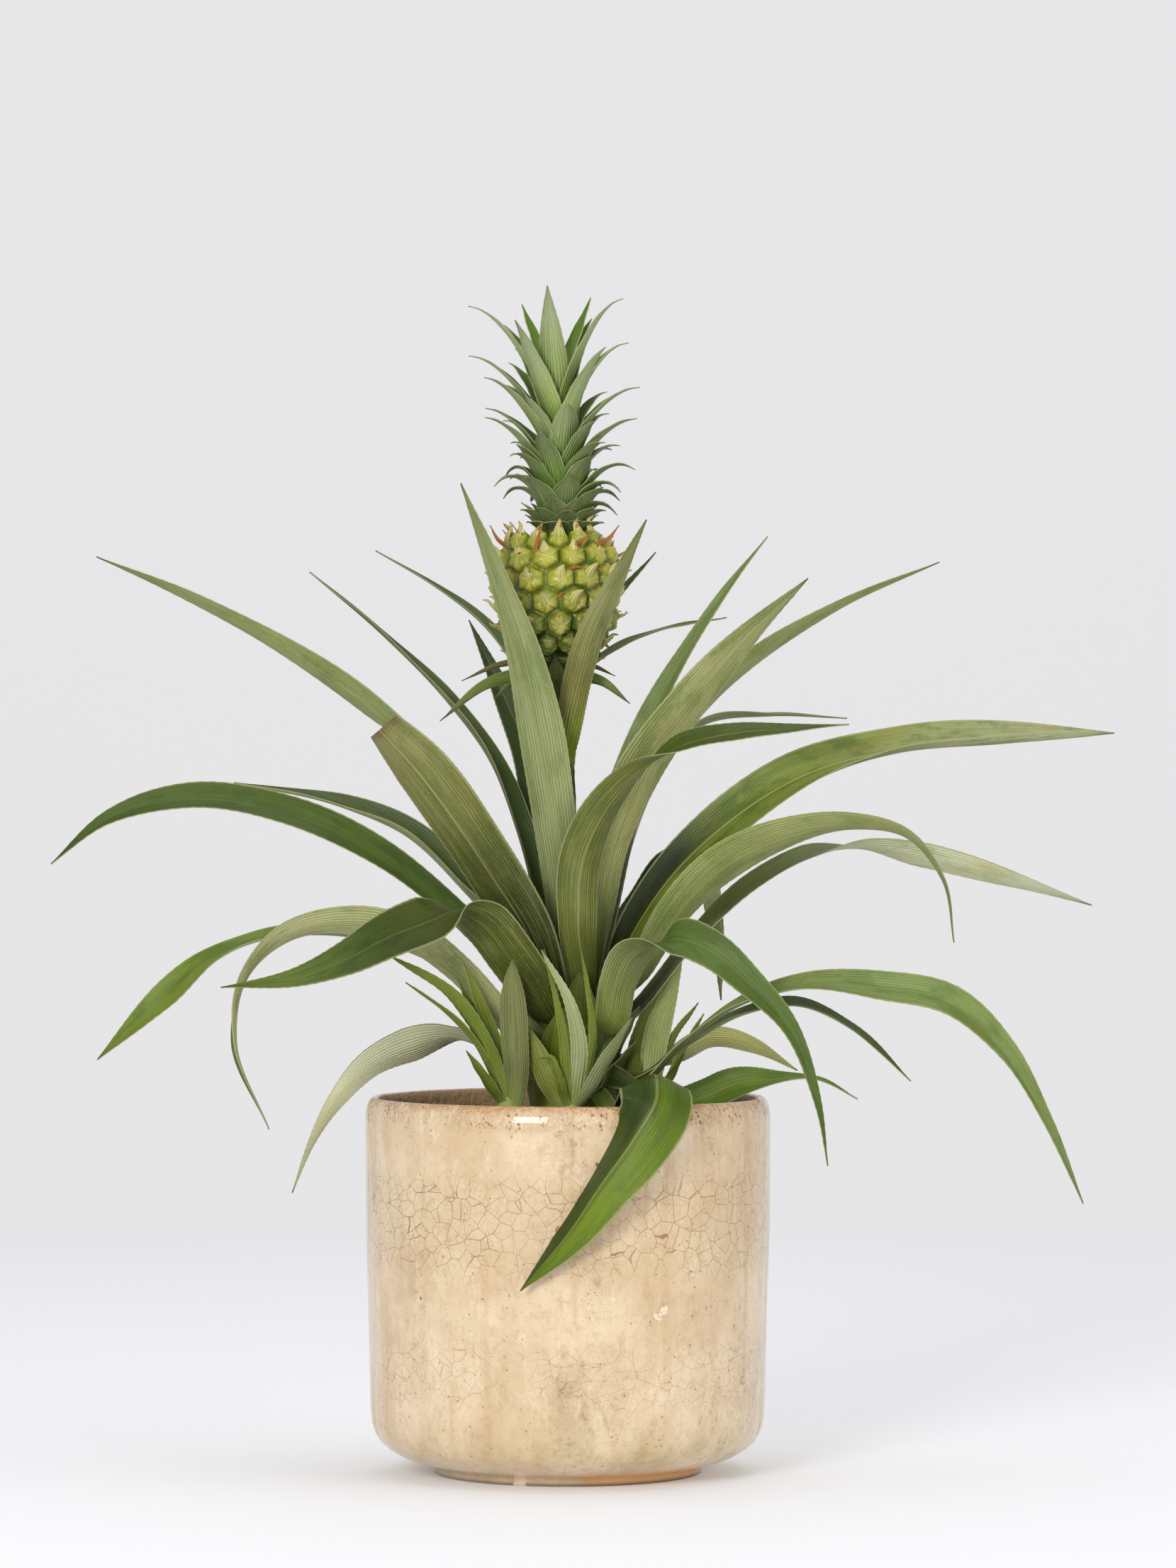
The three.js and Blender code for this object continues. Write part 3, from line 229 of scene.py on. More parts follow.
CREAM = paint(209, 182, 143)
CREAM_THICK = paint(224, 201, 166)
CREAM_THIN = paint(196, 166, 124)
CREAM_BRIGHT = paint(240, 222, 194)
SMOKE = paint(166, 146, 110)
MOSS = paint(172, 160, 112)
FRECKLE = paint(164, 124, 80)
GRIME = paint(178, 146, 102)
SCUFF = paint(160, 128, 88)
CRAZE_STAIN = paint(196, 172, 128)
CRAZE_BROWN = paint(140, 90, 44)
BLISTER = paint(168, 88, 44)
RIM_ORANGE = paint(186, 132, 84)
RIM_PIT = paint(104, 62, 34)
FOOT_ORANGE = paint(214, 164, 112)
FOOT_SHADE = paint(92, 74, 56)
NECK_BROWN = paint(140, 116, 82)
NECK_PALE = paint(164, 124, 84)
PIT_BROWN = paint(84, 54, 34)
SCAR = paint(246, 214, 184)

glaze = Finish("crackle glaze", Specular_IOR_Level=0.5, Coat_Roughness=0.07)
place = glaze.place()
east, north, height = glaze.split(place)
radius = (east * east + north * north) ** 0.5
# Thick and thin glaze: broad clouds, runs down the wall, a fine mottle and grime. A layer
# shows from its first level on, is full at its second, and then has its strength
broad = glaze.cloud(place, 24.0, 5.0, 0.62)
smoke = glaze.cloud(place, (42.0, 42.0, 17.0), 6.0, 0.68)
runs = glaze.cloud(place, (150.0, 150.0, 9.0), 4.0, 0.6)
mottle = glaze.cloud(place, 210.0, 6.0, 0.7)
freckle = glaze.cloud(place, 620.0, 3.0, 0.6)
grime = glaze.cloud(place, (90.0, 90.0, 45.0), 8.0, 0.78)
glaze.colour = glaze.blend(broad.between(0.40, 0.62), CREAM, CREAM_THICK)
for layer, shows, full, strength, tone in (
        (smoke, 0.52, 0.72, 0.45, SMOKE), (runs, 0.50, 0.70, 0.50, CREAM_THIN),
        (runs, 0.48, 0.30, 0.40, CREAM_THICK), (mottle, 0.50, 0.70, 0.45, CREAM_THIN),
        (mottle, 0.46, 0.32, 0.35, CREAM_THICK), (freckle, 0.60, 0.74, 0.45, FRECKLE),
        (grime, 0.52, 0.66, 0.38, GRIME), (grime, 0.46, 0.34, 0.40, CREAM_BRIGHT)):
    glaze.lay(layer.between(shows, full) * strength, tone)
scuff = glaze.cloud(place, 260.0, 5.0, 0.75).between(0.46, 0.66) * smoke.between(0.42, 0.66)
glaze.lay(scuff * 0.55, SCUFF)
low_wall = height.between(0.030, 0.012)
glaze.lay(low_wall * smoke.between(0.40, 0.60) * 0.35, MOSS)
# Crazing: thin brown lines that cross, strong in two belts and faint elsewhere
WANDER = 0.0035
wander = glaze.stretch(glaze.node("ShaderNodeTexNoise", {}, {
    "Vector": place, "Scale": 70.0, "Detail": 2.0}, out=1), (WANDER, WANDER, WANDER))
bent = glaze.node("ShaderNodeVectorMath", {"operation": "ADD"}, {0: place, 1: wander})
line = glaze.cells(bent, 150.0, "DISTANCE_TO_EDGE").between(0.020, 0.005)
hair = glaze.cells(bent, 265.0, "DISTANCE_TO_EDGE").between(0.026, 0.006)
belt = height.between(0.078, 0.090) * height.between(0.124, 0.116)
low_belt = height.between(0.028, 0.036) * height.between(0.062, 0.050)
patch = glaze.cloud(place, 26.0, 3.0).between(0.36, 0.54)
crazed = belt * (0.65 + 0.35 * patch) + low_belt * 0.5 * patch
glaze.lay(belt * 0.22, CRAZE_STAIN)
glaze.lay(line * (crazed * 0.74 + 0.10), CRAZE_BROWN)
glaze.lay(hair * (crazed * 0.38 + 0.04), CRAZE_BROWN)
# Iron specks and blisters
speck = glaze.cells(place, 340.0).between(0.17, 0.07) * mottle.between(0.48, 0.56)
glaze.lay(speck * 0.75, PIT_BROWN)
blister = glaze.cells(place, 74.0).between(0.055, 0.030) * broad.between(0.46, 0.54)
glaze.lay(blister * 0.8, BLISTER)
# The lip: thin glaze on the edge, pitted just below it
LIP_RAGGED = 0.007
ragged = height + (glaze.cloud(place, 130.0, 5.0) - 0.5) * LIP_RAGGED
glaze.lay(ragged.between(0.1440, 0.1478) * 0.75 * mottle.between(0.34, 0.54), RIM_ORANGE)
pit_band = ragged.between(0.1375, 0.1420)
pores = glaze.cells(place, 560.0)
crowd = glaze.cloud(place, 100.0)
pits = pores.between(0.30, 0.16) * pit_band * crowd.between(0.47, 0.56)
ring = pores.between(0.52, 0.34) * pit_band * crowd.between(0.46, 0.56)
glaze.lay(ring * 0.75, RIM_ORANGE)
glaze.lay(pits * 0.8, RIM_PIT)
# The bare stretch at the foot, and a painted contact shadow along the line that the pot stands on
FOOT_RAGGED = 0.008
foot_side = east.between(0.000, 0.012) * east.between(0.064, 0.050) * north.between(0.0, -0.02)
foot_bare = (height + (broad - 0.5) * FOOT_RAGGED).between(0.0085, 0.0045) * foot_side
glaze.lay(foot_bare * 0.8, FOOT_ORANGE)
glaze.lay(height.between(0.0022, 0.0002) * 0.8, FOOT_SHADE)
# Place, size and tint of the scar, the larger specks and the chip at the foot
spots = height * 0
for x, y, z, size, tint in (
        (0.0350, -0.0720, 0.0672, 0.0030, SCAR), (0.0372, -0.0710, 0.0694, 0.0036, SCAR),
        (0.0388, -0.0700, 0.0715, 0.0014, paint(206, 140, 92)),
        (0.0322, -0.0732, 0.0640, 0.0011, paint(176, 126, 82)),
        (0.0468, -0.0655, 0.0515, 0.0011, PIT_BROWN), (0.0118, -0.0790, 0.1262, 0.0010, PIT_BROWN),
        (-0.0570, -0.0560, 0.0735, 0.0009, PIT_BROWN),
        (-0.0030, -0.0795, 0.1010, 0.0013, paint(160, 88, 48)),
        (-0.0185, -0.0495, 0.0022, 0.0034, paint(236, 206, 182))):
    middle = tuple(at + WANDER / 2 for at in (x, y, z))
    away = glaze.node("ShaderNodeVectorMath", {"operation": "DISTANCE"}, {0: bent, 1: middle},
                      out=1)
    nick = (away + (mottle - 0.5) * size * 2.4).between(size, size * 0.75)
    glaze.lay(nick * 0.85, tint)
    spots = spots + nick
# The neck inside is left bare and brown
neck = radius.between(0.0756, 0.0742) * height.between(0.02, 0.03)
glaze.lay(neck * 0.95, glaze.blend(mottle.between(0.4, 0.7), NECK_BROWN, NECK_PALE))
glaze.wear("Base Color", glaze.colour)
glaze.wear("Roughness", 0.20 + 0.22 * mottle + 0.35 * neck + 0.3 * foot_bare)
glaze.wear("Coat Weight", 0.75 * (1 - neck) * (1 - foot_bare) * runs.between(0.70, 0.50))
bubbles = glaze.cloud(place, 480.0, 2.0) * pit_band
relief = broad * 0.7 + mottle * 0.16 - line * crazed * 0.10 - pits * 0.5 - speck * 0.15
glaze.bump(relief + bubbles * 1.7 - spots * 0.6, 0.6, 0.0014)
finished(pot, "glazed_pot", "pot_glaze", glaze, "pot")


# Peat based potting mix fills the pot to just under the lip and is heaped a little towards
# the stem. It is dark and crumbly, with short bits of bark and fibre on top.
SOIL_LEVEL = 137
SOIL_HEAP = 4
HEAP_REACH = 34
SOIL_SIDES = 120
CRUMBS = 330
CRUMB_REACH = 69.5


def soil_top(reach):
    return SOIL_LEVEL + SOIL_HEAP * math.exp(-((reach / HEAP_REACH) ** 2))


soil = thrown(
    [(0, 12), (51, 12.3), (64.5, 17.2), (69.2, 30), (70.4, 80), (71.3, 120), (71.7, 134.5),
     (71.2, 136.3)] + [(r, soil_top(r)) for r in range(68, 3, -4)] + [(0, soil_top(0))],
    SOIL_SIDES, 0.0)
for vert in soil.verts:
    if vert.co.z > 0.1355 and math.hypot(vert.co.x, vert.co.y) < 0.0712:
        rough = noise.noise(vert.co * 90) + 0.7 * noise.noise(vert.co * 260)
        vert.co.z += 0.9 * MM * rough
earth = Finish("potting mix", Roughness=0.95, Specular_IOR_Level=0.2)
grain = earth.cloud(earth.place(), 420.0, 6.0, 0.7)
earth.wear("Base Color",
           earth.blend(grain.between(0.35, 0.72), paint(34, 24, 17), paint(84, 62, 44)))
earth.bump(grain, 0.9, 0.0015)
finished(soil, "potting_mix", "soil", earth, "potting_soil")

draw = random.Random(7)
crumbs = bmesh.new()
for _ in range(CRUMBS):
    turn = draw.uniform(0, math.tau)
    reach = CRUMB_REACH * math.sqrt(draw.uniform(0.01, 1))
    size = draw.uniform(0.5, 1.7) * MM
    spot = Vector((reach * math.cos(turn), reach * math.sin(turn), soil_top(reach))) * MM
    flat = Matrix.Diagonal((draw.uniform(0.8, 2.6), draw.uniform(0.7, 1.3), 0.7, 1))
    tilt = Matrix.Rotation(draw.uniform(0, math.tau), 4, "Z")
    tilt = tilt @ Matrix.Rotation(draw.uniform(-0.5, 0.5), 4, "Y")
    bmesh.ops.create_icosphere(crumbs, subdivisions=1, radius=size,
                               matrix=Matrix.Translation(spot) @ tilt @ flat)
finished(crumbs, "soil_crumbs", "soil", earth)


# The stem is short and thick at the soil and thins to the fruit stalk, all one growth. It is
# green above, purplish brown lower down, ringed with leaf scars, and bears the narrow bracts
# that stand out under the fruit.
def mix(first, second, share):
    return first + (second - first) * share


def ease(share):
    share = min(1.0, max(0.0, share))
    return share * share * (3 - 2 * share)


def blend(first, second, share):
    return tuple(mix(a, b, share) for a, b in zip(first, second))


def along(rows, height, column):
    """Reads a table of rows at a height."""
    if height <= rows[0][0]:
        return rows[0][column]
    for low, high in zip(rows, rows[1:]):
        if height <= high[0]:
            return mix(low[column], high[column], (height - low[0]) / (high[0] - low[0]))
    return rows[-1][column]


def bearing(degrees):
    return Vector((math.cos(math.radians(degrees)), math.sin(math.radians(degrees)), 0))


UP = Vector((0, 0, 1))
# Midribs are given as sighted from the front, 2.38 m away and 271 mm up, with their depth
SIGHT_X = 8
SIGHT_Z = 271.3
SIGHT_DISTANCE = 2380
MIDLINE_STEPS = 24
SHEET_GAP = 0.01


def sighted(point):
    spread = 1 + point[1] / SIGHT_DISTANCE
    return Vector((SIGHT_X + (point[0] - SIGHT_X) * spread, point[1],
                   SIGHT_Z + (point[2] - SIGHT_Z) * spread))


def midline(points, start):
    """A smooth line through points that leaves the first one along start."""
    chord = [(b - a).length for a, b in zip(points, points[1:])]
    slope = [start.normalized()]
    for i in range(1, len(points)):
        before = (points[i] - points[i - 1]) / chord[i - 1]
        if i < len(points) - 1:
            after = (points[i + 1] - points[i]) / chord[i]
            before = before.lerp(after, chord[i - 1] / (chord[i - 1] + chord[i]))
        slope.append(before)
    line = []
    for i, run in enumerate(chord):
        for k in range(MIDLINE_STEPS):
            t = k / MIDLINE_STEPS
            line.append((points[i] * (2 * t**3 - 3 * t * t + 1)
                         + slope[i] * run * (t**3 - 2 * t * t + t)
                         + points[i + 1] * (3 * t * t - 2 * t**3)
                         + slope[i + 1] * run * (t**3 - t * t), i + t))
    line.append((points[-1].copy(), len(points) - 1))
    return line


def channelled(width, channel, fold, columns):
    """Half a blade across: how far out and up each column lies, and how it is turned."""
    def turned(s):
        return channel / 2 * ((1 - fold) * s + fold * math.tanh(6 * s))

    half, out, lift = columns // 2, 0, 0
    section = [(0, 0, 0)]
    for n in range(1, half + 1):
        for part in (n - 0.75, n - 0.25):
            out += math.cos(turned(part / half)) * width / columns / 2
            lift += math.sin(turned(part / half)) * width / columns / 2
        section.append((out, lift, turned(n / half)))
    return section


def layers(bm):
    """The vertex colours and marks that the green finish reads."""
    def layer(kind, key):
        return kind.get(key) or kind.new(key)

    marks = {"tone": layer(bm.verts.layers.float_color, "tone"),
             "leaf": layer(bm.loops.layers.uv, "leaf")}
    for key in ("across", "rib", "under", "patch"):
        marks[key] = layer(bm.verts.layers.float, key)
    return marks


def blade_tone(look, t, s, under):
    """The colour at the share t of a blade's length and s of its half width."""
    tone = look["under" if under else "upper"]
    tone = blend(look.get("body", tone), tone, ease((t - 0.25) / 0.5))
    # Dark foot tones are painted shade where a leaf's foot lies under the leaves above it; pale
    # and bright foot tones are the feet's own colour
    tone = blend(look["foot_tone"], tone, ease(t / look.get("foot_share", 0.3)))
    # shaded lays a painted shade over one half of the blade, from its foot up to the share
    # shaded_to of its length
    if "shaded" in look:
        shade = ease(0.5 - s * look.get("shaded_side", 4))
        tone = blend(tone, look["shaded"], shade * ease((look.get("shaded_to", 2) - t) / 0.15))
    if "end_tone" in look:
        tone = blend(tone, look["end_tone"], ease((t - 0.55) / 0.4))
    return blend(tone, look["tip"], 0.8 * ease((t - 0.965) / 0.035))


def blade(bm, points, faces, start, look, rows, columns, size, width, channel, thick, seed=0,
          teeth=0, wave=0, crease=0, soften=3, centred=False):
    """Raises one channelled blade along a midline. width, channel and thick say what it
    measures at a share of its length, and look holds its colours."""
    marks = layers(bm)
    line = midline(points, start)
    run = [0.0]
    for (a, _), (b, _) in zip(line, line[1:]):
        run.append(run[-1] + (b - a).length)
    # Even stations along the midline, each with the way that the blade should face
    stations, at = [], 0
    for i in range(rows + 1):
        goal = run[-1] * (i / rows)
        while at < len(run) - 2 and run[at + 1] < goal:
            at += 1
        t = min(1.0, (goal - run[at]) / max(1e-9, run[at + 1] - run[at]))
        spot = line[at][0].lerp(line[at + 1][0], t)
        span = mix(line[at][1], line[at + 1][1], t)
        k = min(len(faces) - 2, int(span))
        wish = faces[k].normalized().lerp(faces[k + 1].normalized(), span - k)
        stations.append([spot, wish, goal / run[-1]])
    for _ in range(soften):
        wishes = [s[1] for s in stations]
        for i in range(1, rows):
            stations[i][1] = wishes[i] * 0.5 + (wishes[i - 1] + wishes[i + 1]) * 0.25
    # At each station the blade's upper side and its right hand side, square to its run
    frames = []
    for i, (spot, wish, t) in enumerate(stations):
        ahead = stations[min(rows, i + 1)][0] - stations[max(0, i - 1)][0]
        forward = start.normalized() if i == 0 else ahead.normalized()
        upper = (wish - forward * wish.dot(forward)).normalized()
        frames.append((spot, upper, upper.cross(forward), t))
    sections = [channelled(width(t), channel(t), crease * ease(t / 0.3), columns)
                for _, _, _, t in frames]
    # The sheet, its copy for the underside and the wall that joins their rims
    grid = bmesh.ops.create_grid(bm, x_segments=columns, y_segments=rows, size=0.5)
    sheet = list({f for v in grid["verts"] for f in v.link_faces})
    edges = list({e for f in sheet for e in f.edges})
    copy = bmesh.ops.duplicate(bm, geom=grid["verts"] + edges + sheet)["geom"]
    below = [g for g in copy if isinstance(g, bmesh.types.BMVert)]
    back = [g for g in copy if isinstance(g, bmesh.types.BMFace)]
    bmesh.ops.translate(bm, verts=below, vec=(0, 0, -SHEET_GAP))
    rim = list({e for f in sheet + back for e in f.edges if len(e.link_faces) == 1})
    walls = bmesh.ops.bridge_loops(bm, edges=rim)["faces"]
    # Every point of the flat sheets goes to its place on the blade and gets its marks
    share = {}
    for vert in grid["verts"] + below:
        s, i = -2 * vert.co.x, round((vert.co.y + 0.5) * rows)
        spot, upper, side, t = frames[i]
        under = vert.co.z < -SHEET_GAP / 2
        out, lift, turn = sections[i][round(abs(s) * columns / 2)]
        out, turn = (out, turn) if s > 0 else (-out, -turn)
        if centred:
            lift -= 0.45 * sections[i][-1][1] * ease(t / 0.2)
        swell = math.sin(t * 19 + seed + (2.2 if s > 0 else 0))
        lift += wave * s * s * swell * ease(t / 0.25) * ease((1 - t) / 0.2)
        if abs(s) > 0.999 and i % 2 and 0.06 < t < 0.97:
            out += math.copysign(teeth, s)
        half = thick(t) * (1 - 0.35 * s * s) / 2 * (-1 if under else 1)
        normal = upper * math.cos(turn) - side * math.sin(turn)
        vert.co = (spot + side * out + upper * lift + normal * half) * MM
        vert[marks["tone"]] = blade_tone(look, t, s, under)
        vert[marks["across"]] = s
        vert[marks["rib"]] = look["rib"]
        vert[marks["under"]] = float(under)
        vert[marks["patch"]] = look["patch"]
        share[vert] = (s * size / 20 + seed * 3.1, t * run[-1] / 10 + seed * 7.7)
    for face in sheet + back + walls:
        for loop in face.loops:
            loop[marks["leaf"]].uv = share[loop.vert]
    for edge in rim:
        edge.smooth = False
    bmesh.ops.recalc_face_normals(bm, faces=sheet + back + walls)


def tube(bm, stations, sides, tone):
    """A round bar over (centre, radius) stations in mm, made from a rolled sheet. tone gives
    its colour at a share of the height."""
    marks = layers(bm)
    rows = len(stations) - 1
    grid = bmesh.ops.create_grid(bm, x_segments=sides, y_segments=rows, size=0.5)
    sheet = {f for v in grid["verts"] for f in v.link_faces}
    for vert in grid["verts"]:
        i = round((vert.co.y + 0.5) * rows)
        turn = (vert.co.x + 0.5) * math.tau
        centre, reach = stations[i]
        ahead = stations[min(rows, i + 1)][0] - stations[max(0, i - 1)][0]
        run = ahead.normalized()
        first = run.cross(Vector((0, 1, 0))).normalized()
        second = run.cross(first)
        vert.co = (centre + (first * math.cos(turn) + second * math.sin(turn)) * reach) * MM
        vert[marks["tone"]] = tone(i / rows)
        vert[marks["across"]] = 0.5
        vert[marks["patch"]] = 0.6
        vert[marks["under"]] = 0.5
    for face in sheet:
        for loop in face.loops:
            loop[marks["leaf"]].uv = (loop.vert.co.x * 100, loop.vert.co.z * 100)
    bmesh.ops.remove_doubles(bm, verts=grid["verts"], dist=1e-7)
    edges = [e for e in bm.edges if len(e.link_faces) == 1]
    caps = bmesh.ops.holes_fill(bm, edges=edges, sides=0)["faces"]
    bmesh.ops.recalc_face_normals(bm, faces=[f for f in list(sheet) + caps if f.is_valid])


RIB_SPACING = 0.115
GLOSS_UPPER = 0.34
GLOSS_UNDER = 0.50
SCURF = paint(206, 206, 146)
MIDRIB_STRAW = paint(190, 178, 112)
MARGIN_PALE = paint(172, 170, 124)


def green_finish(name):
    """Living leaf: close lengthwise ribs, a midrib, clouded green, and a pale scurf below."""
    skin = Finish(name, Specular_IOR_Level=0.27, Coat_Weight=0.04, Coat_Roughness=0.3)
    grown = skin.node("ShaderNodeUVMap", {"uv_map": "leaf"})
    breadth = skin.split(grown)[0]

    def mark(key, out=2):
        return skin.node("ShaderNodeAttribute", {"attribute_name": key}, out=out)

    def tinted(*by):
        return skin.blend(1.0, tone, (*by, 1), "MULTIPLY")

    tone = mark("tone", 0)
    across, rib, under, patch = [mark(key) for key in ("across", "rib", "under", "patch")]
    wobble = skin.cloud(grown, (1.1, 0.12, 1.0), 2.0)
    ribs = 0.5 + 0.5 * skin.node("ShaderNodeMath", {"operation": "SINE"},
                                 {0: breadth * (math.tau / RIB_SPACING) + wobble * 9})
    veins = skin.cloud(grown, (11.0, 0.14, 1.0), 3.0, 0.65)
    bands = skin.cloud(grown, (2.3, 0.16, 1.0), 3.0, 0.6)
    clouds = skin.cloud(grown, (1.0, 0.42, 1.0), 5.0, 0.62)
    stains = skin.cloud(grown, (0.8, 0.30, 1.0), 3.0, 0.55)
    scurf = skin.cloud(grown, (16.0, 9.0, 1.0), 3.0, 0.6)
    lattice = skin.cloud(grown, (3.0, 34.0, 1.0), 2.0)
    dark, deep = tinted(0.42, 0.52, 0.28), tinted(0.50, 0.56, 0.36)
    olive = tinted(1.02, 0.78, 0.52)
    light = skin.blend(under, tinted(1.45, 1.38, 1.5), skin.blend(0.30, tone, SCURF))
    skin.colour = tone
    skin.lay(clouds.between(0.47, 0.62) * patch, dark)
    skin.lay(clouds.between(0.48, 0.28) * (0.25 + 0.35 * under), light)
    skin.lay(stains.between(0.53, 0.64) * patch * 0.7, olive)
    skin.lay(bands.between(0.50, 0.68) * patch * 0.55, dark)
    skin.lay(bands.between(0.46, 0.30) * (0.20 + 0.30 * under), light)
    skin.lay((1 - ribs) * (0.35 + 0.35 * under), deep)
    skin.lay(veins.between(0.52, 0.66) * (0.20 + 0.20 * under), light)
    skin.lay(veins.between(0.46, 0.30) * 0.38, dark)
    skin.lay(lattice.between(0.48, 0.66) * 0.18 * under, dark)
    skin.lay(scurf.between(0.54, 0.68) * ribs * (0.14 + 0.34 * under), light)
    edge = skin.node("ShaderNodeMath", {"operation": "ABSOLUTE"}, {0: across})
    middle = edge.between(0.060, 0.012)
    skin.lay(edge.between(0.20, 0.04) * rib * 0.40, dark)
    skin.lay(middle * rib * 0.80, skin.blend(0.5, tone, MIDRIB_STRAW))
    skin.lay(edge.between(0.92, 0.985) * 0.55, MARGIN_PALE)
    skin.wear("Base Color", skin.colour)
    skin.wear("Roughness", GLOSS_UPPER + (GLOSS_UNDER - GLOSS_UPPER) * under + 0.14 * scurf)
    skin.bump(ribs * (0.5 + 0.5 * under) + veins * 0.5 + bands * 0.8 - middle * rib * 0.8, 0.6,
              0.00035)
    return skin


# Height, x and radius up the stem and the stalk
STEM = [(118, 1, 14.5), (140, 1, 14.5), (150, 1, 14), (160, 1, 13), (170, 1, 11.6),
        (180, 1, 10), (190, 1, 8.4), (200, 1, 6.9), (212, 1, 5.4), (228, 0.4, 4.6),
        (250, -0.6, 4.3), (270, -1.3, 4.3), (290, -3, 4.2), (308, -4.5, 4.4), (320, -4.5, 5.2)]
STEM_FOOT = 118
STALK_TOP = 320
STALK_SIDES = 24
STALK_LEAF_SCAR = 276
PALE_BELOW = 200
GREEN_ABOVE = 268
STEM_PALE = paint(140, 146, 92)
STALK_GREEN = paint(94, 104, 40)
STALK_BROWN = paint(92, 80, 46)
BRACT_GREEN = paint(112, 134, 62)
BRACT_BROWN = paint(128, 116, 78)
BRACT_FOOT = paint(120, 140, 60)


def stem_at(height):
    return Vector((along(STEM, height, 1), 0, height))


def stalk_tone(share):
    height = mix(STEM_FOOT, STALK_TOP, share)
    tone = blend(STEM_PALE, STALK_BROWN, ease((height - PALE_BELOW) / 30))
    return blend(tone, STALK_GREEN, ease((height - GREEN_ABOVE) / 8))


stem = bmesh.new()
rings = []
for height in range(STEM_FOOT, STALK_TOP + 1, 2):
    scar = (0.35 * math.exp(-((height - STALK_LEAF_SCAR) / 1.6) ** 2)
            + 0.18 * max(0, math.sin(height * 0.55)) ** 8)
    rings.append((stem_at(height), along(STEM, height, 2) + scar))
tube(stem, rings, STALK_SIDES, stalk_tone)


def spur(bm, root, out, reach, drop, wide, sideways, look, rows, columns, roll):
    """A narrow bract or dried flower tip that leaves its root outwards and then droops."""
    side = Vector((-out.y, out.x, 0))
    points = [root, root + out * reach * 0.55 + UP * (1.5 - drop * 0.15) + side * sideways * 0.3,
              root + out * reach - UP * drop + side * sideways]
    face = UP - out * 0.2 + Vector((0, roll, 0))
    blade(bm, points, [face] * 3, out + UP * 0.5, look, rows, columns, wide,
          width=lambda t: max(0.3, wide * (1 - t ** 1.6)), channel=lambda t: math.radians(60),
          thick=lambda t: 0.5, seed=reach, soften=0)


# Bearing, height, reach, drop, width and whether it is a brown one
BRACTS = [(200, 312, 47, 16, 8, 0), (184, 318, 36, 6, 4.5, 1), (350, 312, 28, 9, 7, 0),
          (8, 317, 22, 3, 4, 1), (268, 311, 9, -11, 10, 0), (215, 317, 16, 0, 6, 0),
          (310, 317, 14, 1, 6, 0), (120, 316, 24, 4, 7, 0), (155, 313, 26, 8, 7, 0),
          (88, 314, 20, 5, 6, 0), (240, 317, 15, -3, 11, 0), (292, 317, 15, -3, 11, 0),
          (190, 318, 15, -2, 11, 0), (340, 318, 15, -2, 11, 0), (140, 318, 15, -2, 11, 0),
          (30, 318, 15, -2, 11, 0)]
for turn, height, reach, drop, wide, dried in BRACTS:
    tone = BRACT_BROWN if dried else BRACT_GREEN
    look = {"upper": tone, "under": tone, "foot_tone": BRACT_FOOT, "tip": BRACT_BROWN,
            "end_tone": BRACT_BROWN, "rib": 0.4, "patch": 0.4}
    out = bearing(turn)
    spur(stem, stem_at(height) + out * 1.5, out, reach, drop, wide, 0, look, rows=18, columns=6,
         roll=1.5)
green = green_finish("leaf green")
finished(stem, "stem_and_stalk", "stem", green, "stem")

# The rosette: tough channelled strap leaves that clasp the stem one over the other and arch
# out and down. The upper face is dark clear green, the underside grey green with a fine pale
# scurf; the margins carry small teeth, the feet are pale and the tips dry to brown.
GREEN_DEEP = paint(58, 74, 34)
GREEN_DARK = paint(74, 92, 40)
GREEN_CLEAR = paint(90, 110, 48)
GREY_GREEN = paint(128, 136, 92)
GREY_OLIVE = paint(122, 128, 80)
GREY_DARK = paint(104, 114, 68)
SCURF_PALE = paint(168, 168, 130)
FOOT_GREEN = paint(116, 132, 58)
FOOT_BRIGHT = paint(142, 154, 52)
TIP_BROWN = paint(120, 92, 60)
LEAF_ROWS = 104
LEAF_COLUMNS = 14
CLASP_GAP = 0.95
OLD_CLASP_GAP = 0.7


def strap_width(wide, foot_share, widest, power, taper, end):
    """Width along a leaf: from its foot it grows to the widest part and then runs to a tip."""
    def width(t):
        if t < widest:
            return wide * mix(foot_share, 1, math.sin(t / widest * math.pi / 2))
        s = min(1.0, (t - widest) / (1 - widest))
        return mix(end, wide, max(0.0, 1 - s ** power) ** taper)
    return width


def leaf(name, foot, wide, cup, upper, under, midrib, widest=0.42, point=1.8, taper=1.15,
         end=0.5, lean=0.22, crease=0.3, **look):
    """A leaf from its foot (bearing on the stem, height, share of the full width). cup is its
    channel in degrees at mid length and at the tip. A midrib row is a place and a way to face."""
    turn, height, share = foot
    out = bearing(turn)
    ring = along(STEM, height, 2) + CLASP_GAP
    points = [stem_at(height) + out * ring] + [sighted(row) for row in midrib]
    faces = [-out] + [Vector(row[3:]) for row in midrib]
    width = strap_width(wide, share, widest, point, taper, end)
    clasp = width(0) / ring
    middle, tip = [math.radians(a) for a in cup]

    def channel(t):
        return mix(clasp, mix(middle, tip, ease((t - 0.35) / 0.6)), ease(t / 0.2))

    bm = bmesh.new()
    look = {"upper": upper, "under": under, "foot_tone": FOOT_GREEN, "tip": TIP_BROWN,
            "rib": 0.5, "patch": 0.6, **look}
    blade(bm, points, faces, UP + out * lean, look, LEAF_ROWS, LEAF_COLUMNS, wide, width, channel,
          thick=lambda t: mix(1.15, 0.55, ease(t / 0.3)), seed=turn * 0.11 + height * 0.37,
          teeth=0.16, wave=0.35, crease=crease, centred=True)
    finished(bm, name + "_grown", "leaf", green, name)


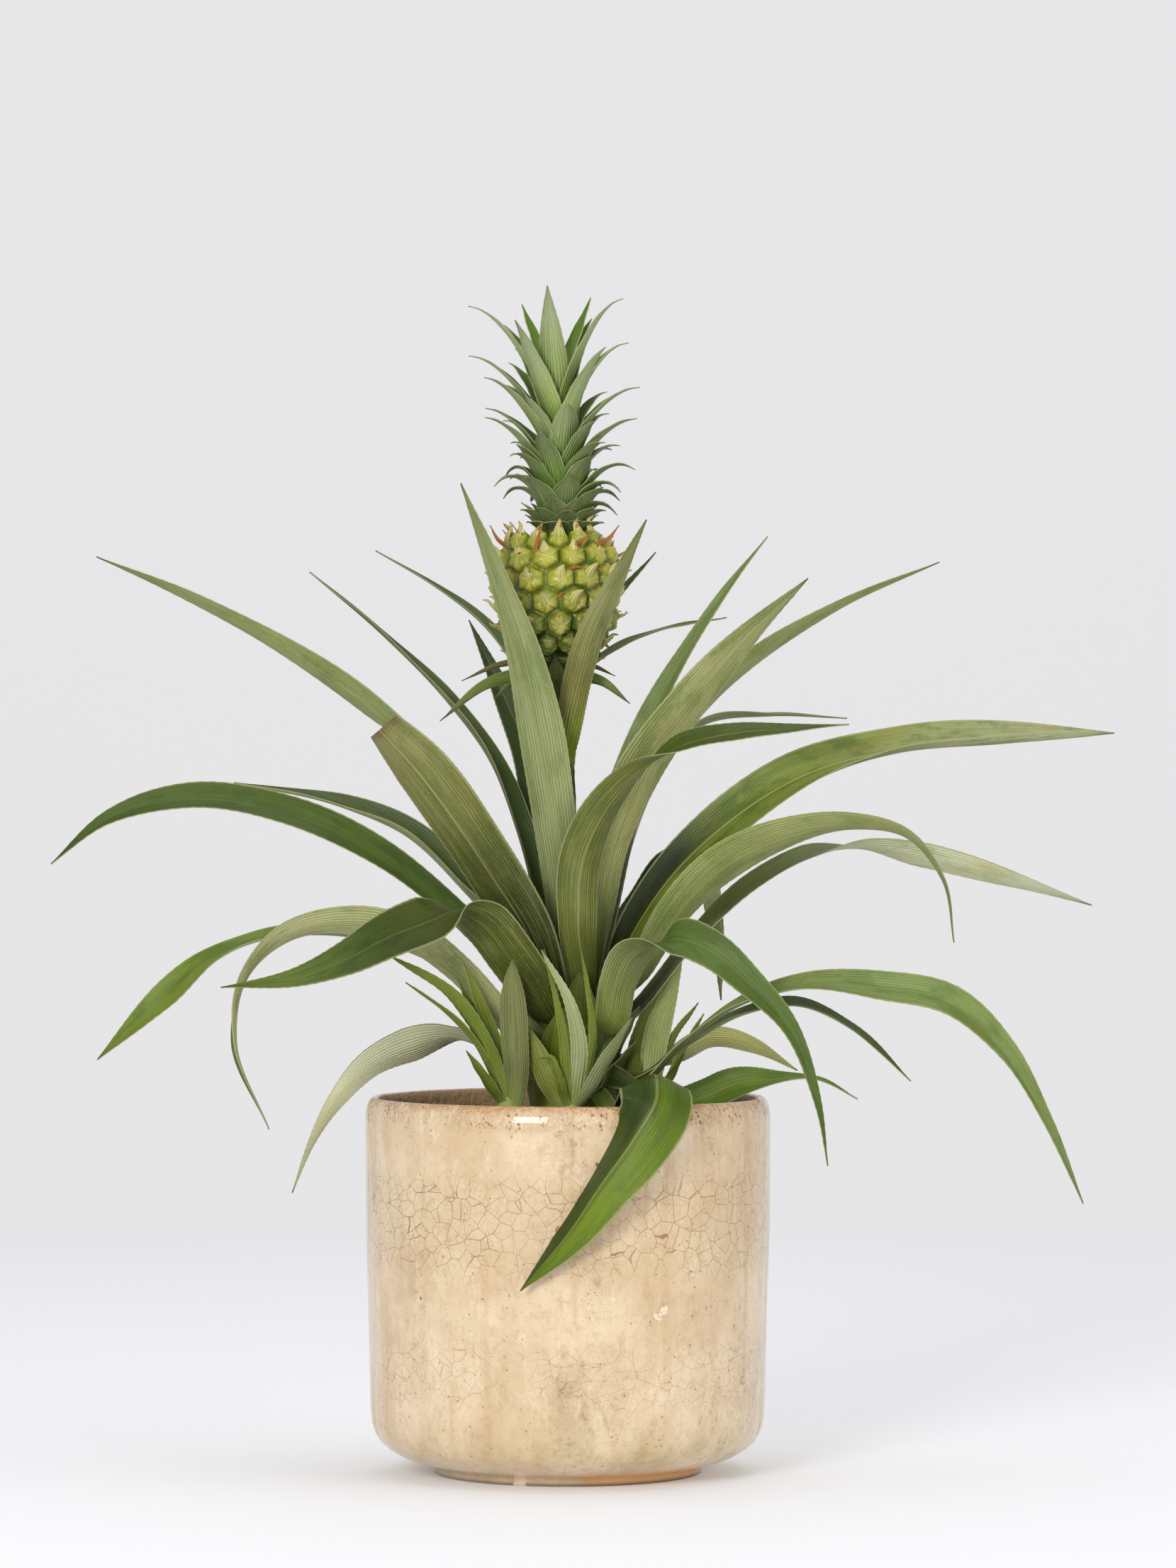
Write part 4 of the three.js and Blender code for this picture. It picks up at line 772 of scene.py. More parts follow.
# Tall leaf up the front, left of the fruit: its grey green underside is seen
leaf("leaf_tall_front", (250, 201, 0.5), 19.5, (44, 30), GREEN_DARK, paint(148, 156, 106),
    [(-3, -17, 236, 2, 9, 0), (-6.2, -21, 262, 3, 9, 0), (-12.3, -24, 300, 3, 9, 1),
     (-19.6, -30, 330, 3, 9, 1), (-26.5, -33, 350, 4, 8, 2), (-42.2, -35, 390, 4, 8, 2)],
    widest=0.45, point=1.35, taper=1.1, foot_tone=paint(128, 138, 84), rib=0.35, crease=0.15)

# Broad leaf whose end was folded and cut off blunt, with a straw brown midrib; its dark foot and
# lower body are painted shade
leaf("leaf_cut_tip", (228, 181, 0.6), 27, (42, 55), GREEN_DARK, paint(106, 110, 46),
    [(-15, -22, 212, 4, 8, 2), (-28.5, -27, 234, 4, 8, 2), (-43, -31, 256, 4, 8, 3),
     (-59.5, -34, 278, 4, 8, 3), (-73.5, -35, 293.5, 4, 6, 5)],
    widest=0.75, end=21, point=2.2, foot_tone=paint(46, 56, 0), body=paint(54, 64, 0),
    end_tone=paint(140, 138, 84), rib=0.7)

# Longest leaf to the upper left, pale scurfy underside towards us
leaf("leaf_back_left_long", (150, 177, 0.6), 18, (65, 50), GREEN_DARK, paint(144, 152, 94),
    [(-12, 14, 206, 5, -6, 3), (-26, 25, 238, 5, -2, 6), (-50, 42, 276, 5, 3, 7),
     (-80, 56, 303, 4, 6, 7), (-110, 68, 323.5, 3, 6, 7), (-146, 80, 343.5, 3, 6, 7),
     (-186, 90, 361, 2, 5, 8)],
    point=1.9, rib=0.4)

# Narrow channelled leaf behind it
leaf("leaf_back_left_narrow", (185, 188, 0.5), 14, (105, 80), GREEN_DARK, paint(110, 116, 66),
    [(-12, 3, 229, 6, -5, 2), (-19, 9, 256, 6, -4, 3), (-28, 17, 279, 6, -3, 5),
     (-46.5, 30, 304.5, 6, -2, 7), (-72, 45, 330, 5, -1, 8), (-101.8, 58, 355, 4, -1, 8)])

# Narrow leaf high at the back left
leaf("leaf_back_left_high", (105, 187, 0.5), 13, (100, 80), GREEN_DARK, GREY_DARK,
    [(-4, 22, 226, 2, -9, 3), (-8, 40, 270, 3, -8, 4), (-15, 56, 310, 4, -7, 5),
     (-32, 72, 334, 4, -3, 8), (-52, 86, 349.5, 4, -2, 9), (-75.8, 98, 363.4, 4, -2, 9)])

# Upright leaf behind, left of the stalk, dark upper side forward
leaf("leaf_back_upright", (148, 197, 0.45), 17, (60, 35), GREEN_DEEP, GREY_DARK,
    [(-6, 14, 226, 3, -9, 0), (-9.5, 22, 252, 3, -9, 1), (-16, 31, 284, 3, -9, 2),
     (-26, 38, 308, 3, -9, 2), (-39, 43, 336, 4, -8, 3)])

# Thin upright leaf behind the fruit
leaf("leaf_back_hidden", (95, 199, 0.45), 10, (60, 45), GREEN_DARK, GREY_DARK,
    [(-2, 12, 232, 0, -9, 1), (-3, 22, 262, 0, -9, 2), (1, 38, 300, -1, -9, 3),
     (10.5, 52, 333, -2, -8, 3), (34.7, 66, 362.8, -3, -7, 4)])

# Upright leaf right of the fruit
leaf("leaf_right_upright", (35, 197, 0.45), 14.5, (75, 55), paint(126, 144, 84),
     paint(150, 154, 106),
    [(10.5, 7, 238, -5, -6, 1), (18, 11, 262, -6, -6, 3), (29.5, 16, 291, -6, -6, 4),
     (43.5, 19, 318, -6, -6, 5), (59.5, 21, 343.5, -6, -5, 6), (78.9, 24, 369, -6, -4, 6)])

# Broad leaf right of the stalk, grey green underside with a brown streak
leaf("leaf_right_broad", (335, 190, 0.55), 21.5, (50, 35), GREEN_DARK, paint(160, 162, 108),
    [(12, -9, 224, -4, 8, 1), (16.5, -13, 248, -4, 8, 2), (29, -16, 277, -4, 8, 3),
     (46.5, -18, 301.5, -4, 8, 4), (69, -21, 328, -4, 8, 4), (94.8, -25, 352.5, -4, 8, 4)],
    widest=0.5, point=1.9, body=paint(174, 176, 118), patch=0.85, rib=0.3)

# Long leaf to the upper right
leaf("leaf_back_right_long", (48, 178, 0.6), 17, (65, 50), GREEN_DARK, paint(146, 152, 94),
    [(14, 15, 214, -5, -6, 3), (23, 26, 246, -5, -2, 6), (41.5, 42, 286, -5, 4, 7),
     (70, 58, 317.8, -4, 5, 7), (106, 72, 341, -3, 5, 7), (146.6, 84, 358.9, -3, 4, 8)],
    rib=0.4)

# Thin channelled leaf that runs out level
leaf("leaf_right_level", (10, 186, 0.5), 15, (95, 80), GREEN_CLEAR, GREY_GREEN,
    [(15, 5, 222, -8, -3, 3), (23, 10, 256, -8, -2, 5), (35, 19, 281, -6, -1, 8),
     (54, 32, 296, -3, 0, 9), (80, 44, 298.8, 0, 0, 9), (110.2, 54, 297.3, 1, 0, 9)])

# Front leaf that turns from its underside at the foot to its dark upper side
leaf("leaf_arched_right", (300, 184, 0.55), 19, (62, 42), paint(76, 92, 32), paint(112, 118, 54),
    [(4, -21, 216, -1, 9, 0), (5, -24, 240, -3, 9, 1), (13, -27, 260, -5, 7, 4),
     (27, -30, 276.5, -4, 4, 7), (45, -33, 287, -2, -5, 8), (68, -37, 291.8, 0, -7, 7),
     (90, -41, 293.2, 0, -5, 8), (111, -45, 294.8, 0, -3, 9)],
    foot_tone=paint(100, 112, 34), rib=0.9)

# Long leaf out to the right, channelled outwards, with a yellow midrib and a painted shade over
# its left half near the foot
leaf("leaf_long_right", (350, 176, 0.6), 25, (60, 150), paint(132, 144, 70), paint(134, 140, 88),
    [(25, -8, 212, -7, -5, 2), (41, -12, 236, -6, -7, 4), (62, -15, 256, -4, -8, 6),
     (93, -18, 276, -2, -6, 7), (130, -20, 287, -1, -3.5, 8), (172, -21, 290.3, 0, -3, 8),
     (215.7, -21, 291.5, 2, -2, 9)],
    widest=0.6, point=3.5, foot_tone=paint(78, 94, 26), body=paint(112, 128, 46),
    end_tone=paint(174, 178, 138), rib=1.0, patch=0.9, crease=0.1,
    shaded=paint(34, 46, 10), shaded_side=-4, shaded_to=0.42)

# Leaf that arches over to the right and hooks down at the end
leaf("leaf_hooked_right", (340, 171, 0.55), 19, (60, 75), GREEN_CLEAR, paint(152, 156, 102),
    [(28, -16, 196, -7, 7, 1), (42, -23, 220, -5, 8, 3), (61, -29, 239, -3, 8, 4),
     (85, -33, 251, -1, 7, 6), (112, -37, 255.5, 0, 5, 8), (134, -40, 251, 3, 2, 8),
     (148, -42, 234, 8, 1, 3), (152.5, -43, 208.7, 9, 1, -2)],
    point=1.6, foot_tone=paint(84, 96, 36), body=paint(134, 144, 80))

# Leaf that twists over at mid length
leaf("leaf_twisted_right", (8, 166, 0.6), 15.5, (60, 40), paint(80, 100, 44), paint(206, 208, 178),
    [(31, -1, 186, -6, -4, 4), (52, -1, 212.5, -4, -3, 7), (74, 3, 232.5, -3, -4, 7),
     (97, 8, 244.5, 0, -3, 8), (114, 13, 247, 0, 2, 9), (138, 18, 243, 1, 7, 7),
     (170, 23, 235, 2, 7, 6), (206.7, 27, 223.5, 2, 6, 7)],
    widest=0.62, foot_tone=paint(36, 46, 10), body=paint(118, 126, 74))

# Leaf arching to the left, dark upper side towards us
leaf("leaf_arched_left", (204, 175, 0.6), 17, (65, 55), paint(74, 94, 30), GREY_GREEN,
    [(-23, -9, 198, 8, -4, 2), (-44, -12, 219.5, 4, -6, 6), (-74, -14, 243, 3, -7, 7),
     (-110, -16, 260, 2, -7, 6.5), (-150, -17, 266, 0, -7, 6), (-182, -17, 257.5, -3, -7, 6),
     (-204, -17, 239.7, -5, -6, 5)],
    widest=0.5, point=2.4, foot_tone=paint(112, 130, 56), rib=0.1, crease=0.5)

# Wide channelled leaf behind it
leaf("leaf_arched_left_behind", (172, 172, 0.6), 19, (130, 100), GREEN_DARK, paint(138, 144, 96),
    [(-20, 9, 205, 8, -1, 2), (-40, 17, 232, 5, -4, 5), (-62, 24, 252.5, 4, -4, 7),
     (-88, 31, 263.5, 2, -4, 8), (-131.7, 38, 271.9, 1, -2, 9)],
    rib=0.4)

# Front left leaf: it rises, folds over and hangs with its ribbed green face up
leaf("leaf_folded_left", (250, 170, 0.65), 23.5, (48, 35), paint(44, 62, 0), paint(148, 152, 96),
    [(-11, -26, 186, 3, 9, 1), (-22.5, -33, 203, 3, 9, 1), (-34, -40, 217, 3, 8, 3),
     (-44, -46, 222.5, 1, 1, 9), (-54, -51, 218, -1, -8, 5), (-70, -56, 211.5, -1, -9, 4),
     (-87, -60, 202.5, -1, -9, 4), (-106, -63, 195.2, -1, -9, 4), (-137, -65, 191, 0, -8, 5)],
    widest=0.48, point=1.5, taper=1.3, foot_tone=paint(70, 82, 0), body=paint(80, 88, 6),
    end_tone=paint(100, 118, 44), rib=0.25, patch=0.8)

# Leaf with a striped grey underside that hooks back down to the pot
leaf("leaf_hooked_left", (226, 163, 0.6), 18.5, (60, 75), GREEN_CLEAR, paint(186, 184, 142),
    [(-29, -16, 182, 6, 7, 2), (-43, -20, 197, 5, 7, 4), (-62, -24, 211, 3, 7, 6),
     (-88, -29, 216.5, 0, 6, 7.5), (-112, -33, 211, -3, 5, 7), (-128, -35, 194, -8, 1, 4),
     (-131.5, -36, 170, -9, -2, 1), (-118, -36, 135, -9, -2, -3)],
    point=1.6, foot_tone=paint(196, 198, 136), body=paint(184, 186, 130), rib=0.4, patch=0.9)

# Low leaf to the left
leaf("leaf_low_left", (184, 158, 0.6), 16, (60, 45), paint(112, 132, 42), paint(124, 132, 68),
    [(-23, 3, 175, 7, -2, 4), (-42, 5, 195, 5, -2, 7), (-66, 7, 207.5, 3, -2, 9),
     (-96, 8, 213, 0, -2, 9), (-128, 9, 208.7, -2, -2, 9), (-141, 9.5, 202.5, -2, -4, 8),
     (-158, 10, 188.5, -4, -8, 4), (-185.7, 10, 162.5, -5, -7, 4)],
    widest=0.7, point=2.2, body=paint(130, 144, 76), rib=0.15)

# Short leaf with a silvery pale underside
leaf("leaf_pale_left", (160, 153, 0.6), 16.5, (48, 40), GREEN_CLEAR, paint(232, 232, 198),
    [(-28, 11, 166, 6, 4, 5), (-44, 16, 172, 1, 3, 9), (-62, 20, 168, -2, 9, 4),
     (-77.5, 22, 161, -4, 9, 3), (-91, 24, 146.5, -6, 8, 1), (-101, 25, 130, -6, 8, 0),
     (-108.8, 25, 110, -7, 7, 0)],
    point=1.3, taper=1.5, foot_tone=paint(196, 202, 150), rib=0.3, patch=0.1)

# Front right leaf, bright at the foot, folding over and hanging down the pot
leaf("leaf_folded_right", (303, 168, 0.55), 19.5, (42, 38), paint(86, 108, 42),
     paint(132, 140, 88),
    [(17, -24, 177, -3, 9, 0), (20, -30, 192, -4, 8, 1), (25, -36, 203, -3, 7, 4),
     (33, -42, 208.5, 0, 1, 9), (44.5, -47, 210.5, 0, -8, 5), (56, -52, 206, 1, -9, 4),
     (72, -57, 192.5, 3, -9, 2), (86.5, -61, 177, 4, -8, 1), (99, -64, 144, 5, -8, 0),
     (102.6, -64, 120.6, 5, -8, 0)],
    widest=0.38, point=1.05, taper=1.35, foot_tone=paint(150, 162, 74), rib=0.15)

# Long low leaf to the right, turning its upper side up
leaf("leaf_long_low_right", (325, 156, 0.6), 14.5, (65, 45), paint(124, 142, 78), GREY_GREEN,
    [(27, -19, 151.5, -5, 1, 8), (45, -24, 168.5, -5, 0, 8), (66, -29, 184, -3, -1, 9),
     (92, -34, 192.3, 0, -4, 8), (124, -39, 191.3, 1, -8, 5), (151, -43, 185.7, 2, -8, 4),
     (173, -46, 166, 5, -8, 4), (189, -48, 139, 6, -7, 3), (203.4, -49, 105.7, 6, -7, 2)],
    widest=0.55, point=1.7, taper=1.2, foot_tone=paint(74, 84, 38), rib=0.15)

# Narrow low leaf to the right
leaf("leaf_narrow_low_right", (352, 152, 0.6), 11.5, (65, 45), GREEN_DARK, paint(140, 146, 98),
    [(29, -9, 156, -5, 0, 8), (48, -12, 169.5, -4, -1, 8), (70, -13, 181.5, -2, -2, 9),
     (90, -13, 184.8, 0, -3, 9), (112, -13, 175.5, 2, -4, 8), (135.4, -13, 154, 4, -4, 7)])

# Short leaf that lies out over the rim
leaf("leaf_over_rim", (20, 149, 0.5), 15.5, (46, 45), paint(110, 136, 50), GREY_GREEN,
    [(27, 9, 147, -3, -4, 8), (42, 9.5, 144.5, -1, -7, 6), (54, 9, 148, -2, -8, 5),
     (66, 7, 153, -1, -8, 5), (82, 5, 155, 0, -5, 8), (98, 3, 155.2, 2, -2, 9),
     (114.4, 1, 147, 3, -2, 8)],
    widest=0.46, point=1.3, taper=1.3)

# Short pale leaf low on the right
leaf("leaf_pale_low_right", (38, 159, 0.6), 12.5, (48, 40), paint(196, 196, 128),
     paint(196, 196, 128),
    [(24, 16, 160, -4, 4, 7), (42, 25, 164, -3, 6, 7), (56, 31, 171, -1, 8, 5),
     (73, 38, 168, 1, 8, 5), (90.6, 44, 158.3, 2, 7, 5)],
    patch=0.3)

# Leaf folded down over the front of the pot, creased along its midrib, with a painted shade over
# its left half
leaf("leaf_draped_front", (298, 147, 0.4), 30, (-56, -38), paint(105, 127, 2), GREY_GREEN,
    [(14, -27, 141.3, 0, 0, 9), (24, -46, 143.5, 0, -1, 9), (31, -62, 150, 0.5, -2, 9),
     (34.5, -75, 153.5, 1.2, -5, 8), (35, -81.5, 146, 0, -9, 4), (28, -84, 131.7, -3.6, -8, 2),
     (14, -85, 111.8, -6, -7, 2), (2, -84.5, 94.6, -7, -7, 1), (-18.7, -83, 71.2, -7, -7, 1)],
    widest=0.5, point=2.1, rib=0.6, body=paint(64, 84, 6), crease=0.92,
    shaded=paint(54, 72, 4))

# Leaf that droops at the back right, pale towards its end; its deep green foot and upper side are
# partly its own colour and partly painted shade
leaf("leaf_drooping_back", (70, 168, 0.6), 14, (60, 45), GREEN_DEEP, SCURF_PALE,
    [(15, 22, 200, -4, -7, 3), (29, 36, 226, -5, -6, 5), (43.5, 45, 242.5, -3, -5, 7),
     (52.5, 50, 237, 4, 4, 7), (58, 53, 218, 4, 8, 2), (60.5, 55, 186, 3, 9, 1)],
    foot_tone=GREEN_DEEP, end_tone=SCURF_PALE)

# Broad leaf on the fruit stalk, bright at the foot, with a brown streak
leaf("leaf_stalk_front", (272, 279, 0.7), 12.5, (75, 40), GREEN_CLEAR, paint(134, 136, 84),
    [(0, -9, 292, 1, 9, 0), (4, -15, 312, -2, 9, 1), (9.5, -26, 331, -3, 9, 1),
     (17, -32, 347, -4, 8, 2), (31, -33, 375.7, -4, 8, 2)],
    lean=0.12, foot_tone=paint(150, 174, 50), body=paint(128, 126, 66), rib=0.6,
    patch=0.8)

# Thin leaf on the stalk, behind
leaf("leaf_stalk_back", (40, 300, 0.8), 5, (70, 50), GREEN_CLEAR, GREY_GREEN,
    [(4, 12, 312, -2, -4, 7), (14, 22, 322, -2, -4, 8), (34, 30, 331.5, -2, -3, 9),
     (62.7, 36, 337, -1, -3, 9)],
    lean=0.5)

# Short old leaves, cut back or half dried, still clasp the foot of the stem between the rest:
# bearing, height, length, reach, width and tone of each
basal = bmesh.new()
for turn, height, tall, reach, wide, tone in (
        (262, 140, 44, 9, 26, paint(126, 138, 22)), (222, 140, 38, 12, 24, FOOT_GREEN),
        (306, 140, 40, 10, 26, GREEN_DARK), (182, 141, 34, 13, 22, GREY_DARK),
        (345, 140, 30, 12, 22, GREEN_CLEAR), (140, 140, 36, 11, 24, GREEN_DARK),
        (95, 140, 40, 10, 26, GREY_DARK), (55, 141, 32, 13, 24, GREEN_DARK),
        (20, 142, 26, 13, 20, GREEN_DARK), (282, 150, 48, 6, 22, paint(118, 130, 22)),
        (240, 152, 44, 7, 22, paint(112, 124, 26)), (214, 150, 42, 8, 24, FOOT_GREEN),
        (336, 144, 40, 15, 24, FOOT_GREEN)):
    out = bearing(turn)
    ring = along(STEM, height, 2) + OLD_CLASP_GAP
    root = stem_at(height) + out * ring
    points = [root, root + UP * tall * 0.5 + out * reach * 0.3, root + UP * tall + out * reach]
    look = {"upper": tone, "under": tone, "foot_tone": FOOT_BRIGHT, "foot_share": 0.6,
            "tip": TIP_BROWN, "end_tone": blend(tone, GREY_OLIVE, 0.4), "rib": 0.3, "patch": 0.9}
    blade(basal, points, [-out, -out, UP * 0.4 - out], UP + out * 0.05, look, rows=30, columns=10,
          size=wide, width=strap_width(wide, 0.9, 0.3, 2.0, 1.0, 0.6),
          channel=lambda t: mix(wide / ring, 0.9, ease(t / 0.6)),
          thick=lambda t: mix(0.9, 0.5, t), seed=turn * 0.21, teeth=0.2, wave=0.5, crease=0.2)
finished(basal, "old_leaf_bases", "leaf", green)


# The fruit is a small syncarp: six sided fruitlets in winding rows, each a low boss with
# radial wrinkles, a papery bract that stands up over its middle and dried flower tips.
FRUIT_X = -4.5
FRUIT_PROFILE = [(320.4, 8), (322.5, 15), (327, 18.6), (334, 21), (342, 23), (350, 24),
                 (358, 23), (364, 20.6), (369, 17), (371, 11.5)]
FRUITLETS_PER_TURN = 12.5
FRUITLET_ROWS = 6
GROOVE = 1.8
BOSS_RISE = 1.9
BOSS_RINGS = 7
BOSS_SIDES = 36
# Each tone is given as it is at the foot of the fruit and, riper, above
BOSS = (paint(44, 66, 0), paint(154, 156, 32))
BOSS_FOOT = (paint(18, 30, 0), paint(68, 92, 4))
BOSS_STAR = (paint(130, 138, 62), paint(200, 190, 104))
BOSS_CREASE = paint(88, 110, 24)

fruit_run = [0.0]
for (z0, r0), (z1, r1) in zip(FRUIT_PROFILE, FRUIT_PROFILE[1:]):
    fruit_run.append(fruit_run[-1] + math.hypot(z1 - z0, r1 - r0))
fruit_rows = [(s, z, r) for s, (z, r) in zip(fruit_run, FRUIT_PROFILE)]


def fruit_skin(turn, share, rise):
    """A point on the fruit at a bearing and a share of the way up, rise mm off its skin."""
    s = min(1, max(0, share)) * fruit_run[-1]
    z, r = along(fruit_rows, s, 1), along(fruit_rows, s, 2)
    ahead, behind = min(fruit_run[-1], s + 0.5), max(0, s - 0.5)
    dz = along(fruit_rows, ahead, 1) - along(fruit_rows, behind, 1)
    dr = along(fruit_rows, ahead, 2) - along(fruit_rows, behind, 2)
    norm = math.hypot(dz, dr)
    out = bearing(turn)
    return (Vector((FRUIT_X, 0, z - dr / norm * rise)) + out * (r + dz / norm * rise),
            (out * dz / norm - UP * dr / norm))


below_step = math.floor(FRUITLETS_PER_TURN)
fruitlets = round(FRUITLETS_PER_TURN * FRUITLET_ROWS)


def fruitlet_at(k):
    """Bearing in degrees, and share of the way up, of a fruitlet in the winding row."""
    return k * 360 / FRUITLETS_PER_TURN, (k + below_step / 2 + 1) / (fruitlets + below_step + 1)


fruit = bmesh.new()
fruit_marks = layers(fruit)
for k in range(fruitlets):
    turn, share = fruitlet_at(k)
    around = []
    for away in (1, below_step + 1, below_step, -1, -below_step - 1, -below_step):
        other = fruitlet_at(k + away)
        around.append(((other[0] - turn + 180) % 360 - 180, other[1] - share))
    corners = [((a[0] + b[0]) / 3, (a[1] + b[1]) / 3)
               for a, b in zip(around, around[1:] + around[:1])]
    own = math.sin(k * 12.9)
    lean_turn, lean_share = 4.6 * math.sin(k * 4.7), 0.016 * math.sin(k * 7.3) - 0.010
    grown = ease((share - 0.05) / 0.6)
    high, deep, bright = [blend(*tones, grown) for tones in (BOSS, BOSS_FOOT, BOSS_STAR)]
    disc = bmesh.ops.create_grid(fruit, x_segments=BOSS_SIDES, y_segments=BOSS_RINGS,
                                 size=0.5)
    for vert in disc["verts"]:
        phi, rho = (vert.co.x + 0.5) * math.tau, vert.co.y + 0.5
        phi = 0 if phi > math.tau - 0.01 else phi
        place = phi / math.tau * 6
        j, step = int(place) % 6, place - int(place)
        to_turn = mix(corners[j][0], corners[(j + 1) % 6][0], step)
        to_share = mix(corners[j][1], corners[(j + 1) % 6][1], step)
        spread, inner = rho ** 0.9, rho * (1 - rho) * 4
        pleat = math.sin(phi * 8 + own * 3) * 0.5 + math.sin(phi * 13 + k) * 0.5
        rise = -GROOVE + (GROOVE + BOSS_RISE + 0.8 * own) * (1 - rho ** 4.2) + 0.46 * pleat * inner
        lump = Vector((math.cos(phi) * rho * 1.6, math.sin(phi) * rho * 1.6, k * 1.7))
        rise += 0.8 * noise.noise(lump) * (1 - rho ** 4)
        spot, normal = fruit_skin(turn + to_turn * spread + lean_turn * (1 - rho),
                                  share + to_share * spread + lean_share * (1 - rho), rise)
        vert.co = spot * MM
        star = math.exp(-(rho / (0.42 + 0.20 * math.sin(phi * 5 + own * 2))) ** 2)
        tone = blend(high, deep, ease((rho - 0.68) / 0.32))
        tone = blend(tone, bright, 0.7 * star)
        vert[fruit_marks["tone"]] = blend(tone, BOSS_CREASE, 0.4 * max(0, -pleat) * inner)
bmesh.ops.remove_doubles(fruit, verts=fruit.verts, dist=0.00003)
bmesh.ops.holes_fill(fruit, edges=[e for e in fruit.edges if len(e.link_faces) == 1], sides=0)
bmesh.ops.recalc_face_normals(fruit, faces=fruit.faces)
rind = Finish("fruit rind", Specular_IOR_Level=0.4, Coat_Weight=0.3, Coat_Roughness=0.12)
place = rind.place()
rind.colour = rind.node("ShaderNodeAttribute", {"attribute_name": "tone"}, out=0)
skin_grain = rind.cloud(place, 1100.0, 3.0)
skin_cloud = rind.cloud(place, 170.0, 4.0)
rind.lay(skin_cloud.between(0.5, 0.68) * 0.5, paint(186, 176, 70))
rind.lay(skin_cloud.between(0.48, 0.34) * 0.5, paint(88, 122, 24))
rind.lay(skin_grain.between(0.55, 0.72) * 0.3, paint(196, 184, 92))
rind.wear("Base Color", rind.colour)
rind.wear("Roughness", 0.24 + 0.3 * skin_grain)
rind.bump(skin_grain * 0.5 + skin_cloud, 0.6, 0.0006)
finished(fruit, "fruit_rind", "fruit", rind, "fruit")

# A papery bract hoods the middle of every fruitlet, with the dried flower behind it
papers = bmesh.new()
PAPER = paint(222, 208, 142)
PAPER_GREEN = paint(164, 172, 66)
PAPER_BROWN = paint(186, 112, 58)
PAPER_FOOT = paint(150, 152, 70)
FLOWER_UPPER = paint(214, 138, 76)
FLOWER_UNDER = paint(200, 120, 66)
FLOWER_END = paint(120, 66, 40)
draw = random.Random(11)
for k in range(fruitlets):
    turn, share = fruitlet_at(k)
    side = bearing(turn + 90)
    out_more, curl, sway = draw.uniform(3.0, 5.2), draw.uniform(-0.2, 2.2), draw.uniform(-2.0, 2.0)
    root, normal = fruit_skin(turn, share - 0.035, 0.9)
    knee, _ = fruit_skin(turn, share + 0.012, 2.6)
    top, outward = fruit_skin(turn, share + 0.052, out_more)
    end = top + normal * curl + UP * 1.2 + side * sway
    cream = blend(PAPER_FOOT, PAPER, ease(share / 0.6))
    look = {"upper": cream, "under": cream, "foot_tone": PAPER_GREEN, "tip": PAPER_BROWN,
            "rib": 0.3, "patch": 0.3, "foot_share": 0.6}
    blade(papers, [root, knee, top + side * sway * 0.4, end], [-normal] * 3 + [-outward],
          normal * 0.8 + UP, look, rows=9, columns=4, size=5,
          width=lambda t: max(0.25, 8.0 * (0.8 + 0.5 * t) * (1 - t ** 1.2)),
          channel=lambda t: math.radians(95), thick=lambda t: 0.3, seed=k * 0.7, crease=0.5,
          soften=1)
    if draw.random() < 0.75:
        low, normal = fruit_skin(turn + draw.uniform(-4, 4), share + 0.02, 0.8)
        tip = low + normal * draw.uniform(2.2, 3.6) + UP * draw.uniform(0.5, 2.5) + side * sway
        look = {**look, "foot_tone": PAPER_BROWN, "upper": PAPER_BROWN, "under": PAPER_BROWN}
        blade(papers, [low, (low + tip) / 2 + normal * 0.6, tip], [UP] * 3, normal, look, rows=5,
              columns=2, size=1, width=lambda t: max(0.3, 2.0 * (1 - t * 0.8)),
              channel=lambda t: math.radians(90), thick=lambda t: 0.35, seed=k, soften=0)
# Bearing, height, length, lift and sideways lean of the longer dried flower tips
FLOWER_TIPS = [(196, 364, 9, 9, 2), (186, 361, 10, 9, 0), (172, 357, 7, 3, 0),
               (248, 362, 6, 10, 4), (292, 364, 7, 6, 5), (312, 363, 6, 5, 3),
               (332, 365, 9, 8, 2), (350, 359, 8, 5, 3), (2, 352, 8, 4, 2), (0, 335, 9, 4, 2),
               (352, 325, 7, -1, 1), (228, 359, 5, 3, 4), (250, 351, 5, 3, -3),
               (282, 354, 5, 2, 5), (272, 343, 4, 3, 2), (238, 332, 5, 2, -3),
               (70, 364, 8, 6, -2)]
for turn, height, reach, lift, sideways in FLOWER_TIPS:
    out = bearing(turn)
    root = Vector((FRUIT_X, 0, height)) + out * (along(FRUIT_PROFILE, height, 1) - 2)
    spur(papers, root, out, reach, -lift, 2.6, sideways,
         {"upper": FLOWER_UPPER, "under": FLOWER_UNDER, "foot_tone": PAPER,
          "tip": FLOWER_END, "rib": 0.3, "patch": 0.6}, rows=8, columns=4, roll=0.8)
finished(papers, "fruit_bracts", "fruit", green)


# The tuft on the fruit: short stiff leaves like scales at the foot, longer and more upright
# towards the top, grey green with toothed margins and backs curled out to fine points.
CROWN_GREY = paint(164, 172, 134)
CROWN_DARK = paint(104, 118, 72)
CROWN_GREEN = paint(98, 134, 30)
CROWN_FRESH = paint(152, 172, 92)
CROWN_BASE = paint(96, 146, 24)
CROWN_TIP = paint(150, 110, 76)
CORE_PAINTED_SHADE = paint(40, 52, 16)
CROWN_START = 376
CROWN_X = -2.4
CROWN_LEAN = 0.048
LONG_REACH = 26
# Height and radius of the core, and of the ring that the leaves stand on
CROWN_CORE = [(365, 13), (371.3, 11), (377, 9), (384, 7), (400, 5.5), (416, 4), (432, 2.4),
              (440, 1.2)]
CROWN_RING = [(371.3, 10), (374, 11.6), (384, 11), (400, 9), (416, 6.6), (432, 4), (440, 2)]


def crown_axis(height):
    return Vector((CROWN_X - (height - CROWN_START) * CROWN_LEAN, 0, height))


